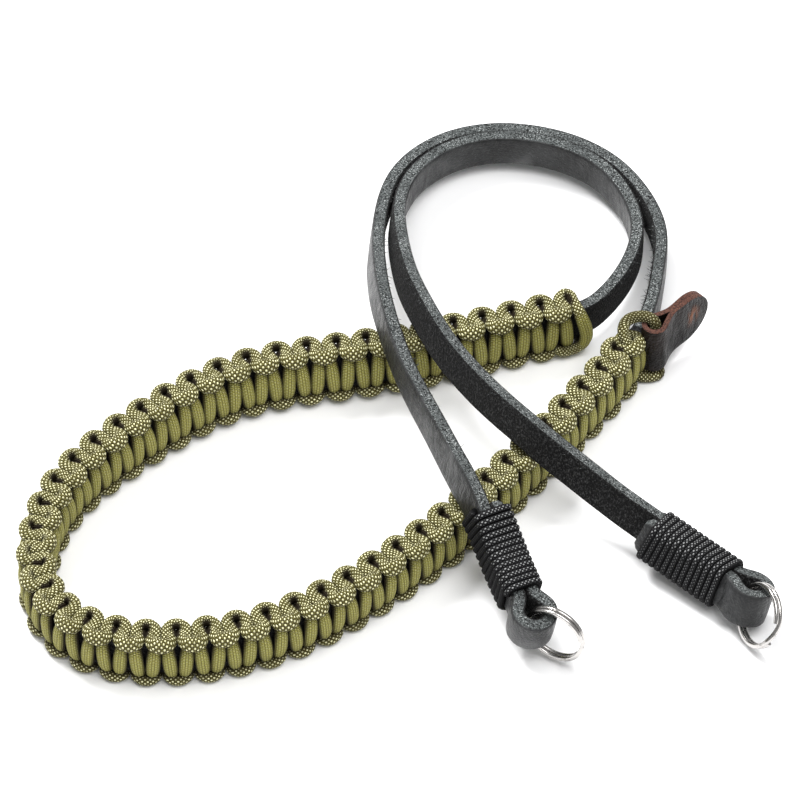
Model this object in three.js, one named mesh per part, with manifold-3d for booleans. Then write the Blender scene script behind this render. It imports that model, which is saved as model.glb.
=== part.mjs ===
// Coiled camera strap: one leather strip run through a braided cord sleeve, with a whipped fold and
// a split ring at each end and a folded leather tab where the braid begins. Millimetres, +Z up.
// It lies on its edge on a table, and every route below is drawn on that table.
import * as THREE from 'three';
import { mergeVertices } from 'three/addons/utils/BufferGeometryUtils.js';
import Module from 'manifold-3d';

const wasm = await Module();
wasm.setup();

// Size of the whole layout on the table. Places in the route are shares of these two.
const LAYOUT_WIDTH = 220;
const LAYOUT_DEPTH = 200;

// Leather strip.
const STRAP_WIDTH = 10.8;
const STRAP_THICKNESS = 3.8;
const STRAP_EDGE_CHAMFER = 0.5;
const STRAP_STEP = 7.2;

// Half the share of a table row over which the strip's direction is taken.
const DIRECTION_REACH = 0.02;

// Air left between two pieces that touch on the real strap.
const SEAT_GAP = 0.3;

// Braided cord sleeve round the strip.
const BRAID_CORD = 4;
const BRAID_CORD_FLATTENING = 0.85;
const BRAID_CORE_CLEARANCE = 0.5;
const BRAID_WIDTH = STRAP_WIDTH + 2 * BRAID_CORD;
const BRAID_THICKNESS = STRAP_THICKNESS + 2 * BRAID_CORD * BRAID_CORD_FLATTENING;
const BRAID_PITCHES = 49;
const BRAID_EDGE_NOTCH_SHARE = 0.45;
const BRAID_FACE_NOTCH_SHARE = 0.2;
const BRAID_SHOULDER_SHARE = 0.3;
const BRAID_EDGE_NOTCH = BRAID_EDGE_NOTCH_SHARE * BRAID_CORD;
const BRAID_FACE_NOTCH = BRAID_FACE_NOTCH_SHARE * BRAID_CORD;
const BRAID_SHOULDER = BRAID_SHOULDER_SHARE * BRAID_CORD;
const BRAID_STEPS_PER_PITCH = 5;

// Black cord wound round each end of the strip.
const WHIPPING_CORD = 2.2;
const WHIPPING_TURNS = 12;
const WHIPPING_LENGTH = WHIPPING_TURNS * WHIPPING_CORD;
const WHIPPING_WALL = 1.8;
const WHIPPING_CORNER = 2.4;
const WHIPPING_GROOVE = 0.35;
const WHIPPING_CLEARANCE = 0.45;

// Fold of the strip round each ring.
const FOLD_LENGTH = 13.2;
const FOLD_EYE_RADIUS = 2.8;
const FOLD_NECK_STEPS = 4;
const FOLD_ARC_STEPS = 10;
const LEFT_TAIL = 2.5;
const RIGHT_TAIL = 3.5;

// Split rings: two turns of flattened wire with a step between them.
const RING_OUTER_DIAMETER = 18.4;
const RING_WIRE_RADIAL = 1.3;
const RING_WIRE_AXIAL = 1.15;
const RING_TURN_GAP = 0.12;
const RING_STEPS_PER_TURN = 20;
const RING_STEP_ANGLE = 0.42;
const LEFT_RING_SWING = 37;
const RIGHT_RING_SWING = -27;
const LEFT_RING_LEAN = -8;
const RIGHT_RING_LEAN = -8;

// How far the wire reaches from the eye's axis towards the strap, halfway up the fold.
const RING_BACK_REACH = 1.7;

// Folded leather tab on the last loop of the braid.
const TAB_LENGTH = 21;
const TAB_WIDTH = 17.6;
const TAB_LEATHER = 1.7;
const TAB_MEETING = 9;
const TAB_TURN = -16;
const TAB_ARC_STEPS = 8;
const TAB_CORD_CLEARANCE = 0.9;
const TAB_EYE_CLEARANCE = 0.55;
const TAB_CORD_RADIUS = (BRAID_CORD * BRAID_CORD_FLATTENING) / 2;
const TAB_CORD_SIDES = 8;
const TAB_CORD_STEPS = 26;
const TAB_BEND_STEPS = 3;

// The last loop of cord: where it turns up from the braid's end, as shares of its own radius, and
// where it comes over the tab, as a share of the way from the strip to the tab.
const CORD_TURN_SHARE = 0.7;
const CORD_RISE_SHARE = 0.6;
const CORD_CROSSING_SHARE = 0.9;

// Corners closer than this count as one where solids are joined.
const JOIN_TOLERANCE = 1e-4;

// The far side of the braid leans back a little, so it stands higher than the near side.
const BRAID_LEAN = 8;
const radians = THREE.MathUtils.degToRad;

// Half the height of a leaning rectangle.
function halfHeight(width, thickness, lean) {
  const tipped = Math.abs(Math.sin(radians(lean))) * thickness;
  return (Math.cos(radians(lean)) * width + tipped) / 2;
}

// Height that carries the strip over the braid, and the share of it that centres it in the braid.
const RIDE_HEIGHT = 2 * halfHeight(BRAID_WIDTH, BRAID_THICKNESS, BRAID_LEAN) + SEAT_GAP;

function coreLift(lean) {
  const braid = halfHeight(BRAID_WIDTH, BRAID_THICKNESS, lean);
  return (braid - halfHeight(STRAP_WIDTH, STRAP_THICKNESS, lean)) / RIDE_HEIGHT;
}

const CORE_LIFT = coreLift(0);

// Left arm, from its ring up to the loop. x, y: middle of the strip's upper edge, as shares of the
// layout's width and depth. lift: height of its lower edge as a share of the ride height.
// lean: degrees that the upper edge tips away from the grain side.
const LEFT_ARM = [
  { x: 0.149, y: -0.423, lift: 0.41, lean: 4 },
  { x: 0.131, y: -0.374, lift: 0.5, lean: 6 },
  { x: 0.112, y: -0.321, lift: 0.79, lean: 9 },
  { x: 0.098, y: -0.284, lift: 0.95, lean: 12 },
  { x: 0.085, y: -0.252, lift: 1.01, lean: 14 },
  { x: 0.07, y: -0.214, lift: 0.98, lean: 12 },
  { x: 0.05, y: -0.162, lift: 0.98, lean: 9 },
  { x: 0.033, y: -0.12, lift: 0.99, lean: 8 },
  { x: 0.013, y: -0.07, lift: 1, lean: 6 },
  { x: -0.003, y: -0.018, lift: 1.03, lean: 6 },
  { x: -0.015, y: 0.037, lift: 1.05, lean: 8 },
  { x: -0.024, y: 0.099, lift: 0.96, lean: 10 },
  { x: -0.028, y: 0.17, lift: 0.74, lean: 9 },
];

// Open loop at the far end, right to left. x, y: upper edge of the inner strand. apart: gap to the
// outer strand beside it, as a share of the strip's width.
const LOOP = [
  { x: 0.311, y: 0.242, apart: 0.3, innerLift: 0.2, outerLift: 0.2, innerLean: 0, outerLean: 0 },
  { x: 0.313, y: 0.285, apart: 0.16, innerLift: 0.2, outerLift: 0.19, innerLean: 0, outerLean: 0 },
  { x: 0.297, y: 0.34, apart: 0.05, innerLift: 0.2, outerLift: 0.17, innerLean: 0, outerLean: 0 },
  { x: 0.267, y: 0.391, apart: 0, innerLift: 0.2, outerLift: 0.15, innerLean: 0, outerLean: 0 },
  { x: 0.213, y: 0.429, apart: 0, innerLift: 0.2, outerLift: 0.14, innerLean: 0, outerLean: 0 },
  { x: 0.14, y: 0.446, apart: 0.02, innerLift: 0.2, outerLift: 0.13, innerLean: 0, outerLean: 0 },
  { x: 0.079, y: 0.432, apart: 0.04, innerLift: 0.2, outerLift: 0.14, innerLean: 0, outerLean: 0 },
  { x: 0.037, y: 0.399, apart: 0.05, innerLift: 0.21, outerLift: 0.17, innerLean: -1, outerLean: 0 },
  { x: 0.01, y: 0.354, apart: 0.05, innerLift: 0.28, outerLift: 0.25, innerLean: -3, outerLean: 2 },
  { x: -0.003, y: 0.283, apart: 0.08, innerLift: 0.48, outerLift: 0.4, innerLean: -7, outerLean: 5 },
  { x: 0.001, y: 0.206, apart: 0.22, innerLift: 0.71, outerLift: 0.58, innerLean: -10, outerLean: 8 },
];

// Outer strand from the loop into the braid, and the inner strand out of it.
const INTO_BRAID = [
  { x: 0.337, y: 0.185, lift: CORE_LIFT, lean: 0 },
  { x: 0.331, y: 0.138, lift: CORE_LIFT, lean: 0 },
  { x: 0.318, y: 0.09, lift: CORE_LIFT, lean: 0 },
];
const OUT_OF_BRAID = [
  { x: 0.263, y: 0.137, lift: CORE_LIFT, lean: 0 },
  { x: 0.283, y: 0.167, lift: CORE_LIFT, lean: 0 },
  { x: 0.3, y: 0.203, lift: CORE_LIFT, lean: 0 },
];

// Braid, from its tab end down the near side, round the left end and back along the far side.
const BRAID_PATH = [
  { x: 0.297, y: 0.047, lean: 0 },
  { x: 0.274, y: 0, lean: 0 },
  { x: 0.242, y: -0.045, lean: 0 },
  { x: 0.197, y: -0.112, lean: 0 },
  { x: 0.139, y: -0.189, lean: 0 },
  { x: 0.082, y: -0.257, lean: 0 },
  { x: 0.027, y: -0.317, lean: 0 },
  { x: -0.034, y: -0.372, lean: 0 },
  { x: -0.098, y: -0.425, lean: 0 },
  { x: -0.166, y: -0.463, lean: 0 },
  { x: -0.243, y: -0.487, lean: 0 },
  { x: -0.324, y: -0.494, lean: 0 },
  { x: -0.4, y: -0.471, lean: 0 },
  { x: -0.453, y: -0.411, lean: 0 },
  { x: -0.464, y: -0.329, lean: 0 },
  { x: -0.448, y: -0.246, lean: -2 },
  { x: -0.408, y: -0.176, lean: -4 },
  { x: -0.354, y: -0.12, lean: -6 },
  { x: -0.296, y: -0.066, lean: -7 },
  { x: -0.231, y: -0.018, lean: -BRAID_LEAN },
  { x: -0.159, y: 0.01, lean: -BRAID_LEAN },
  { x: -0.087, y: 0.022, lean: -BRAID_LEAN },
  { x: -0.01, y: 0.038, lean: -BRAID_LEAN },
  { x: 0.065, y: 0.058, lean: -7 },
  { x: 0.139, y: 0.082, lean: -5 },
  { x: 0.196, y: 0.099, lean: -3 },
  { x: 0.243, y: 0.115, lean: -1 },
];

// Right arm, from the loop down to its ring, with the same columns as the left arm.
const RIGHT_ARM = [
  { x: 0.013, y: 0.118, lift: 0.94, lean: -13 },
  { x: 0.032, y: 0.058, lift: 1.05, lean: -14 },
  { x: 0.057, y: -0.004, lift: 1.03, lean: -14 },
  { x: 0.088, y: -0.056, lift: 1, lean: -14 },
  { x: 0.125, y: -0.108, lift: 0.98, lean: -14 },
  { x: 0.163, y: -0.154, lift: 0.99, lean: -14 },
  { x: 0.19, y: -0.18, lift: 0.91, lean: -14 },
  { x: 0.222, y: -0.201, lift: 0.74, lean: -14 },
  { x: 0.254, y: -0.224, lift: 0.58, lean: -14 },
  { x: 0.292, y: -0.25, lift: 0.4, lean: -15 },
  { x: 0.331, y: -0.275, lift: 0.25, lean: -17 },
  { x: 0.379, y: -0.314, lift: 0.15, lean: -19 },
  { x: 0.427, y: -0.358, lift: 0.13, lean: -21 },
];

// Finish of each kind of piece.
const LEATHER_FINISH = { color: 0x45494b, roughness: 0.6, metalness: 0 };
const BRAID_FINISH = { color: 0x77773a, roughness: 0.75, metalness: 0 };
const WHIPPING_FINISH = { color: 0x151517, roughness: 0.7, metalness: 0 };
const RING_FINISH = { color: 0xc9c5c0, roughness: 0.22, metalness: 1 };
const TAB_FINISH = { color: 0x3a2a24, roughness: 0.65, metalness: 0 };

const UP = new THREE.Vector3(0, 0, 1);

// Loop rows of one strand: the inner one as listed, the outer one beside it on the outside.
function loopStrand(isOuter) {
  return LOOP.map((row, i) => {
    const before = LOOP[Math.max(i - 1, 0)];
    const after = LOOP[Math.min(i + 1, LOOP.length - 1)];
    const along = new THREE.Vector2(
      (after.x - before.x) * LAYOUT_WIDTH,
      (after.y - before.y) * LAYOUT_DEPTH,
    ).normalize();
    const reach = isOuter ? STRAP_THICKNESS + SEAT_GAP + row.apart * STRAP_WIDTH : 0;
    return {
      x: row.x + (along.y * reach) / LAYOUT_WIDTH,
      y: row.y - (along.x * reach) / LAYOUT_DEPTH,
      lift: isOuter ? row.outerLift : row.innerLift,
      lean: isOuter ? row.outerLean : row.innerLean,
    };
  });
}

const BRAID_ROWS = BRAID_PATH.map((row) => ({ ...row, lift: coreLift(row.lean) }));
const BEFORE_BRAID = [...LEFT_ARM, ...loopStrand(true).reverse(), ...INTO_BRAID];
const AFTER_BRAID = [...OUT_OF_BRAID, ...loopStrand(false), ...RIGHT_ARM];
const ROUTE = [...BEFORE_BRAID, ...BRAID_ROWS, ...AFTER_BRAID];

// Smooth curve through a table: a cubic blend of four neighbouring rows, column by column.
function blendRows(rows, at) {
  const last = rows.length - 1;
  const i = Math.min(Math.floor(at), last - 1);
  const f = at - i;
  const weights = [
    (1 - f) ** 3 / 6,
    (3 * f ** 3 - 6 * f ** 2 + 4) / 6,
    (-3 * f ** 3 + 3 * f ** 2 + 3 * f + 1) / 6,
    f ** 3 / 6,
  ];
  const rowAt = (k, column) => {
    if (k < 0) return 2 * rows[0][column] - rows[1][column];
    if (k > last) return 2 * rows[last][column] - rows[last - 1][column];
    return rows[k][column];
  };
  const blended = {};
  for (const column of ['x', 'y', 'lift', 'lean']) {
    blended[column] = weights.reduce((sum, w, k) => sum + w * rowAt(i - 1 + k, column), 0);
  }
  return blended;
}

// Upper edge of the strip at one place of the route.
function upperEdge(at) {
  const row = blendRows(ROUTE, at);
  const lean = radians(row.lean);
  const rise = STRAP_WIDTH * Math.cos(lean) + (STRAP_THICKNESS / 2) * Math.abs(Math.sin(lean));
  const point = new THREE.Vector3(
    row.x * LAYOUT_WIDTH,
    row.y * LAYOUT_DEPTH,
    row.lift * RIDE_HEIGHT + rise,
  );
  return { point, lean };
}

// Section frame: centre of the strip, the way it runs, its width (up) and its grain side (out).
function frameAt(at) {
  const last = ROUTE.length - 1;
  const { point, lean } = upperEdge(at);
  const ahead = upperEdge(Math.min(at + DIRECTION_REACH, last)).point;
  const behind = upperEdge(Math.max(at - DIRECTION_REACH, 0)).point;
  const along = ahead.sub(behind).normalize();
  const left = new THREE.Vector3().crossVectors(UP, along).normalize();
  const rise = new THREE.Vector3().crossVectors(along, left);
  const up = rise.multiplyScalar(Math.cos(lean)).addScaledVector(left, -Math.sin(lean));
  const out = new THREE.Vector3().crossVectors(up, along);
  const centre = point.clone().addScaledVector(up, -STRAP_WIDTH / 2);
  return { centre, along, up, out };
}

// Length table of the route, so that places can be asked for by millimetres along the strip.
const LENGTH_SAMPLES_PER_ROW = 12;
const LENGTHS = [0];
{
  let before = frameAt(0).centre;
  for (let i = 1; i <= (ROUTE.length - 1) * LENGTH_SAMPLES_PER_ROW; i += 1) {
    const here = frameAt(i / LENGTH_SAMPLES_PER_ROW).centre;
    LENGTHS.push(LENGTHS[i - 1] + here.distanceTo(before));
    before = here;
  }
}
const ROUTE_LENGTH = LENGTHS[LENGTHS.length - 1];

function lengthAtRow(row) {
  return LENGTHS[row * LENGTH_SAMPLES_PER_ROW];
}

function frameAtLength(length) {
  let i = 1;
  while (i < LENGTHS.length - 1 && LENGTHS[i] < length) i += 1;
  const share = (length - LENGTHS[i - 1]) / (LENGTHS[i] - LENGTHS[i - 1]);
  return frameAt((i - 1 + share) / LENGTH_SAMPLES_PER_ROW);
}

const BRAID_START = lengthAtRow(BEFORE_BRAID.length);
const BRAID_END = lengthAtRow(BEFORE_BRAID.length + BRAID_ROWS.length - 1);

// Point of a section, across its thickness and up its width.
function inFrame(frame, out, up, along = 0) {
  return frame.centre
    .clone()
    .addScaledVector(frame.out, out)
    .addScaledVector(frame.up, up)
    .addScaledVector(frame.along, along);
}

// Rectangle with cut corners, anticlockwise, as [across, up] pairs.
function chamferedBox(thickness, width, chamfer) {
  const x = thickness / 2;
  const y = width / 2;
  return [
    [x, -y + chamfer],
    [x, y - chamfer],
    [x - chamfer, y],
    [-x + chamfer, y],
    [-x, y - chamfer],
    [-x, -y + chamfer],
    [-x + chamfer, -y],
    [x - chamfer, -y],
  ];
}

// Rectangle in the same order, from the lower corner on the grain side.
function plainBox(thickness, width) {
  const x = thickness / 2;
  const y = width / 2;
  return [[x, -y], [x, y], [-x, y], [-x, -y]];
}

// Triangles between two neighbouring rings of points.
function bridge(indices, first, second, count) {
  for (let k = 0; k < count; k += 1) {
    const next = (k + 1) % count;
    indices.push(first + k, first + next, second + next);
    indices.push(first + k, second + next, second + k);
  }
}

// Turns the faces round where a closed shape came out inside out.
function facingOut(points, indices) {
  let volume = 0;
  for (let i = 0; i < indices.length; i += 3) {
    const [a, b, c] = [points[indices[i]], points[indices[i + 1]], points[indices[i + 2]]];
    volume += a.dot(new THREE.Vector3().crossVectors(b, c));
  }
  const ordered = volume < 0 ? indices.slice().reverse() : indices;
  const geometry = new THREE.BufferGeometry().setFromPoints(points);
  geometry.setIndex(ordered);
  geometry.computeVertexNormals();
  return geometry;
}

// Solid through a row of convex rings, closed flat at both ends.
function loft(rings) {
  const count = rings[0].length;
  const indices = [];
  for (let i = 0; i + 1 < rings.length; i += 1) bridge(indices, i * count, (i + 1) * count, count);
  const lastRing = (rings.length - 1) * count;
  for (let k = 1; k + 1 < count; k += 1) {
    indices.push(0, k + 1, k);
    indices.push(lastRing, lastRing + k, lastRing + k + 1);
  }
  return facingOut(rings.flat(), indices);
}

// Open-ended sleeve of eight-cornered outer rings and four-cornered inner rings. At both ends each
// inner corner meets two outer ones.
function loftSleeve(outerRings, innerRings) {
  const count = outerRings[0].length;
  const innerCount = innerRings[0].length;
  const innerBase = outerRings.length * count;
  const indices = [];
  for (let i = 0; i + 1 < outerRings.length; i += 1) {
    const inner = innerBase + i * innerCount;
    bridge(indices, i * count, (i + 1) * count, count);
    bridge(indices, inner + innerCount, inner, innerCount);
  }
  const last = outerRings.length - 1;
  const partner = (k) => Math.ceil(k / 2) % innerCount;
  const close = (outer, inner, isStart) => {
    for (let k = 0; k < count; k += 1) {
      const next = (k + 1) % count;
      const [a, b] = isStart ? [next, k] : [k, next];
      indices.push(outer + a, outer + b, inner + partner(b));
      if (partner(a) !== partner(b)) indices.push(outer + a, inner + partner(b), inner + partner(a));
    }
  };
  close(0, innerBase, true);
  close(last * count, innerBase + last * innerCount, false);
  return facingOut([...outerRings.flat(), ...innerRings.flat()], indices);
}

// Distance between the middles of the strip and of its folded-back end.
const LEG_SPACING = STRAP_THICKNESS + SEAT_GAP;
const FOLD_MIDDLE_RADIUS = FOLD_EYE_RADIUS + STRAP_THICKNESS / 2;
const FOLD_EYE_DISTANCE = FOLD_LENGTH - FOLD_EYE_RADIUS - STRAP_THICKNESS;

// The fold at one end: outwards along the strip, round the eye and back beside the strip's flesh
// side. Pairs of distance past the whipping and offset towards the grain side.
function foldOutline() {
  const spread = FOLD_MIDDLE_RADIUS - LEG_SPACING / 2;
  const points = [];
  for (let i = 1; i <= FOLD_NECK_STEPS; i += 1) {
    const share = i / FOLD_NECK_STEPS;
    const bulge = (spread * (1 - Math.cos(Math.PI * share))) / 2;
    points.push([FOLD_EYE_DISTANCE * share, bulge]);
  }
  for (let i = 1; i < FOLD_ARC_STEPS; i += 1) {
    const angle = Math.PI / 2 - (Math.PI * i) / FOLD_ARC_STEPS;
    points.push([
      FOLD_EYE_DISTANCE + FOLD_MIDDLE_RADIUS * Math.cos(angle),
      -LEG_SPACING / 2 + FOLD_MIDDLE_RADIUS * Math.sin(angle),
    ]);
  }
  const back = points.slice(0, FOLD_NECK_STEPS).reverse();
  for (const [distance, bulge] of back) points.push([distance, -LEG_SPACING - bulge]);
  return points;
}

// Section frames of one fold and its folded-back end. outward is -1 at the left ring, where the
// route starts, and 1 at the right ring, where it ends.
function foldFrames(end, outward, tail) {
  const base = frameAtLength(end);
  const outline = [[0, 0], ...foldOutline(), [0, -LEG_SPACING]];
  const place = ([distance, offset]) => inFrame(base, offset, 0, distance * outward);
  const frames = [];
  for (let i = 1; i + 1 < outline.length; i += 1) {
    const along = place(outline[i + 1]).sub(place(outline[i - 1])).normalize();
    const out = new THREE.Vector3().crossVectors(base.up, along);
    frames.push({ centre: place(outline[i]), along, up: base.up, out });
  }
  const returnLength = WHIPPING_LENGTH + tail;
  const steps = Math.ceil(returnLength / STRAP_STEP);
  for (let i = 0; i <= steps; i += 1) {
    const frame = frameAtLength(end - (outward * returnLength * i) / steps);
    frames.push({
      centre: inFrame(frame, -LEG_SPACING, 0),
      along: frame.along.clone().multiplyScalar(-outward),
      up: frame.up,
      out: frame.out.clone().multiplyScalar(-outward),
    });
  }
  return frames;
}

// The leather strip: folded end, left arm, loop, braid core, loop, right arm, folded end.
function leatherStrap() {
  const section = chamferedBox(STRAP_THICKNESS, STRAP_WIDTH, STRAP_EDGE_CHAMFER);
  const steps = Math.round(ROUTE_LENGTH / STRAP_STEP);
  const middle = [];
  for (let i = 0; i <= steps; i += 1) middle.push(frameAtLength((ROUTE_LENGTH * i) / steps));
  const leftFold = foldFrames(0, -1, LEFT_TAIL).reverse();
  for (const frame of leftFold) {
    frame.out.multiplyScalar(-1);
    frame.along.multiplyScalar(-1);
  }
  const frames = [...leftFold, ...middle, ...foldFrames(ROUTE_LENGTH, 1, RIGHT_TAIL)];
  return loft(frames.map((frame) => section.map(([out, up]) => inFrame(frame, out, up))));
}

// Outer section of the braid at a share of its pitch. The arches of the upper edge stand between
// the loops of the lower edge, and the bars across the faces leave a groove at both.
function braidSection(share) {
  const wave = Math.cos(2 * Math.PI * share);
  const lowest = Math.cos(Math.PI / BRAID_STEPS_PER_PITCH);
  const top = BRAID_WIDTH / 2 - (BRAID_EDGE_NOTCH * (1 - wave)) / 2;
  const bottom = -BRAID_WIDTH / 2 + (BRAID_EDGE_NOTCH * (lowest + wave)) / 2;
  const groove = Math.abs(wave);
  const face = BRAID_THICKNESS / 2 - BRAID_FACE_NOTCH * groove;
  const edge = face - BRAID_SHOULDER;
  const shoulder = BRAID_SHOULDER;
  return [
    [face, bottom + shoulder],
    [face, top - shoulder],
    [edge, top],
    [-edge, top],
    [-face, top - shoulder],
    [-face, bottom + shoulder],
    [-edge, bottom],
    [edge, bottom],
  ];
}

// Braided sleeve, a whole number of pitches long, with a channel for the strip. With an odd number
// of steps to a pitch, two neighbouring sections share the lowest height and make a flat foot.
function cordBraid() {
  const steps = BRAID_PITCHES * BRAID_STEPS_PER_PITCH;
  const hollow = plainBox(
    STRAP_THICKNESS + 2 * BRAID_CORE_CLEARANCE,
    STRAP_WIDTH + 2 * BRAID_CORE_CLEARANCE,
  );
  const outer = [];
  const inner = [];
  for (let i = 0; i <= steps; i += 1) {
    const frame = frameAtLength(BRAID_START + ((BRAID_END - BRAID_START) * i) / steps);
    const outline = braidSection(i / BRAID_STEPS_PER_PITCH);
    outer.push(outline.map(([out, up]) => inFrame(frame, out, up)));
    inner.push(hollow.map(([out, up]) => inFrame(frame, out, up)));
  }
  return loftSleeve(outer, inner);
}

// Wound cord round the strip and its folded-back end, one groove for each turn.
function whipping(end, outward) {
  const thickness = LEG_SPACING + STRAP_THICKNESS;
  const hollow = plainBox(
    thickness + 2 * WHIPPING_CLEARANCE,
    STRAP_WIDTH + 2 * WHIPPING_CLEARANCE,
  );
  const steps = 2 * WHIPPING_TURNS;
  const outer = [];
  const inner = [];
  for (let i = 0; i <= steps; i += 1) {
    const frame = frameAtLength(end - (outward * WHIPPING_LENGTH * i) / steps);
    frame.centre = inFrame(frame, -LEG_SPACING / 2, 0);
    const wall = i % 2 === 0 ? WHIPPING_WALL - WHIPPING_GROOVE : WHIPPING_WALL;
    const outline = chamferedBox(thickness + 2 * wall, STRAP_WIDTH + 2 * wall, WHIPPING_CORNER);
    outer.push(outline.map(([out, up]) => inFrame(frame, out, up)));
    inner.push(hollow.map(([out, up]) => inFrame(frame, out, up)));
  }
  return loftSleeve(outer, inner);
}

// Place of a ring: its hinge runs up the fold's eye, and its lowest wire rests on the table.
// swing: turn about the hinge. lean: tip of the ring about the way that it points.
function ringFrame(end, outward, swing, lean) {
  const base = frameAtLength(end);
  const eye = inFrame(base, -LEG_SPACING / 2, 0, FOLD_EYE_DISTANCE * outward);
  const away = base.along.clone().multiplyScalar(outward).applyAxisAngle(base.up, radians(swing));
  const up = base.up.clone().applyAxisAngle(away, radians(lean));
  const normal = new THREE.Vector3().crossVectors(up, away).normalize();
  const radius = RING_OUTER_DIAMETER / 2;
  const centre = eye.clone().addScaledVector(away, radius - RING_BACK_REACH);
  const lowest = centre.z - radius * Math.sqrt(1 - normal.z ** 2);
  const lift = Math.max(0, -lowest / base.up.z);
  centre.addScaledVector(base.up, lift);
  return { centre, away, up, normal };
}

// Split ring: a flat turn, a step across, and a second flat turn beside the first.
function splitRing({ centre, away, up, normal }) {
  const radius = (RING_OUTER_DIAMETER - RING_WIRE_RADIAL) / 2;
  const spacing = RING_WIRE_AXIAL + RING_TURN_GAP;
  const first = RING_STEP_ANGLE;
  const last = 4 * Math.PI - RING_STEP_ANGLE;
  const steps = 2 * RING_STEPS_PER_TURN;
  const rings = [];
  for (let i = 0; i <= steps; i += 1) {
    const angle = first + ((last - first) * i) / steps;
    const through = (angle - 2 * Math.PI) / RING_STEP_ANGLE;
    const side = (THREE.MathUtils.clamp(through, -1, 1) * spacing) / 2;
    const outwards = away.clone().multiplyScalar(Math.cos(angle)).addScaledVector(up, Math.sin(angle));
    const corner = (radial, axial) =>
      centre
        .clone()
        .addScaledVector(outwards, radius + (radial * RING_WIRE_RADIAL) / 2)
        .addScaledVector(normal, side + (axial * RING_WIRE_AXIAL) / 2);
    rings.push([corner(1, -1), corner(1, 1), corner(-1, 1), corner(-1, -1)]);
  }
  return loft(rings);
}

// Frame at the tab end of the braid, looking out of it, with the grain side of the strip to its right.
function tabFrame() {
  const frame = frameAtLength(BRAID_START);
  const along = frame.along.clone().multiplyScalar(-1).setZ(0).normalize();
  return { centre: frame.centre, along, up: UP, out: new THREE.Vector3().crossVectors(along, UP) };
}

// The tab's eye stands beside the strip, just clear of the braid's end.
const TAB_EYE_RADIUS = TAB_CORD_RADIUS + TAB_EYE_CLEARANCE;
const TAB_EYE_OUTER = TAB_EYE_RADIUS + TAB_LEATHER;
const TAB_EYE_OFFSET = STRAP_THICKNESS / 2 + SEAT_GAP + TAB_EYE_OUTER;
const TAB_EYE_DISTANCE = SEAT_GAP + TAB_EYE_OUTER;

// The tab stands on the cord that comes back under it, and the cord passes over its top.
const TAB_BOTTOM = 2 * TAB_CORD_RADIUS + TAB_CORD_CLEARANCE;
const TAB_MIDDLE = TAB_BOTTOM + TAB_WIDTH / 2;
const TAB_CORD_TOP = TAB_BOTTOM + TAB_WIDTH + TAB_CORD_CLEARANCE + TAB_CORD_RADIUS;
const TAB_CORD_BEND = TAB_EYE_RADIUS;

// Quarter bend of the cord where it enters the eye, as [offset, height] pairs.
function eyeBend(height, turn) {
  const pairs = [];
  for (let i = 0; i <= TAB_BEND_STEPS; i += 1) {
    const angle = ((Math.PI / 2) * i) / TAB_BEND_STEPS;
    pairs.push([
      TAB_EYE_OFFSET - TAB_CORD_BEND + TAB_CORD_BEND * Math.sin(angle),
      height + turn * TAB_CORD_BEND * (Math.cos(angle) - 1),
    ]);
  }
  return pairs;
}

// The last loop of cord: out of the braid's end over the strip, up over the tab, down through its
// eye and back under the strip.
function tabCord() {
  const frame = tabFrame();
  const middle = frame.centre.z;
  const near = STRAP_WIDTH / 2 + SEAT_GAP + TAB_CORD_RADIUS;
  const lead = SEAT_GAP + TAB_CORD_RADIUS * CORD_TURN_SHARE;
  const rise = lead + TAB_CORD_RADIUS * CORD_RISE_SHARE;
  const wall = TAB_EYE_OFFSET - TAB_EYE_OUTER;
  const place = ([offset, height]) => inFrame(frame, offset, height - middle, TAB_EYE_DISTANCE);
  const route = new THREE.CatmullRomCurve3([
    inFrame(frame, 0, near, SEAT_GAP),
    inFrame(frame, 0, near, lead),
    inFrame(frame, 0, (near + TAB_CORD_TOP - middle) / 2, rise),
    place([wall * CORD_CROSSING_SHARE, TAB_CORD_TOP]),
    ...eyeBend(TAB_CORD_TOP, 1).map(place),
    place([TAB_EYE_OFFSET, TAB_MIDDLE]),
    ...eyeBend(TAB_CORD_RADIUS, -1).reverse().map(place),
    place([wall, TAB_CORD_RADIUS]),
    inFrame(frame, 0, -near, lead),
    inFrame(frame, 0, -near, SEAT_GAP),
  ]);
  const across = new THREE.Vector3().crossVectors(frame.out, frame.up);
  const rings = [];
  for (let i = 0; i <= TAB_CORD_STEPS; i += 1) {
    const centre = route.getPoint(i / TAB_CORD_STEPS);
    const along = route.getTangent(i / TAB_CORD_STEPS);
    const over = new THREE.Vector3().crossVectors(along, across).normalize();
    const side = new THREE.Vector3().crossVectors(over, along);
    const ring = [];
    for (let k = 0; k < TAB_CORD_SIDES; k += 1) {
      const angle = (2 * Math.PI * k) / TAB_CORD_SIDES;
      ring.push(
        centre
          .clone()
          .addScaledVector(side, TAB_CORD_RADIUS * Math.cos(angle))
          .addScaledVector(over, TAB_CORD_RADIUS * Math.sin(angle)),
      );
    }
    rings.push(ring);
  }
  return loft(rings);
}

// Closed mesh as a solid for joining and cutting, and back again.
function toSolid(geometry) {
  const bare = geometry.index ? geometry.clone() : geometry;
  bare.deleteAttribute('normal');
  bare.deleteAttribute('uv');
  const merged = mergeVertices(bare, JOIN_TOLERANCE);
  return new wasm.Manifold(new wasm.Mesh({
    numProp: 3,
    vertProperties: new Float32Array(merged.attributes.position.array),
    triVerts: new Uint32Array(merged.index.array),
  }));
}

function toGeometry(solid) {
  const mesh = solid.getMesh();
  const geometry = new THREE.BufferGeometry();
  geometry.setAttribute('position', new THREE.BufferAttribute(new Float32Array(mesh.vertProperties), 3));
  geometry.setIndex(new THREE.BufferAttribute(new Uint32Array(mesh.triVerts), 1));
  geometry.computeVertexNormals();
  return geometry;
}

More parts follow.
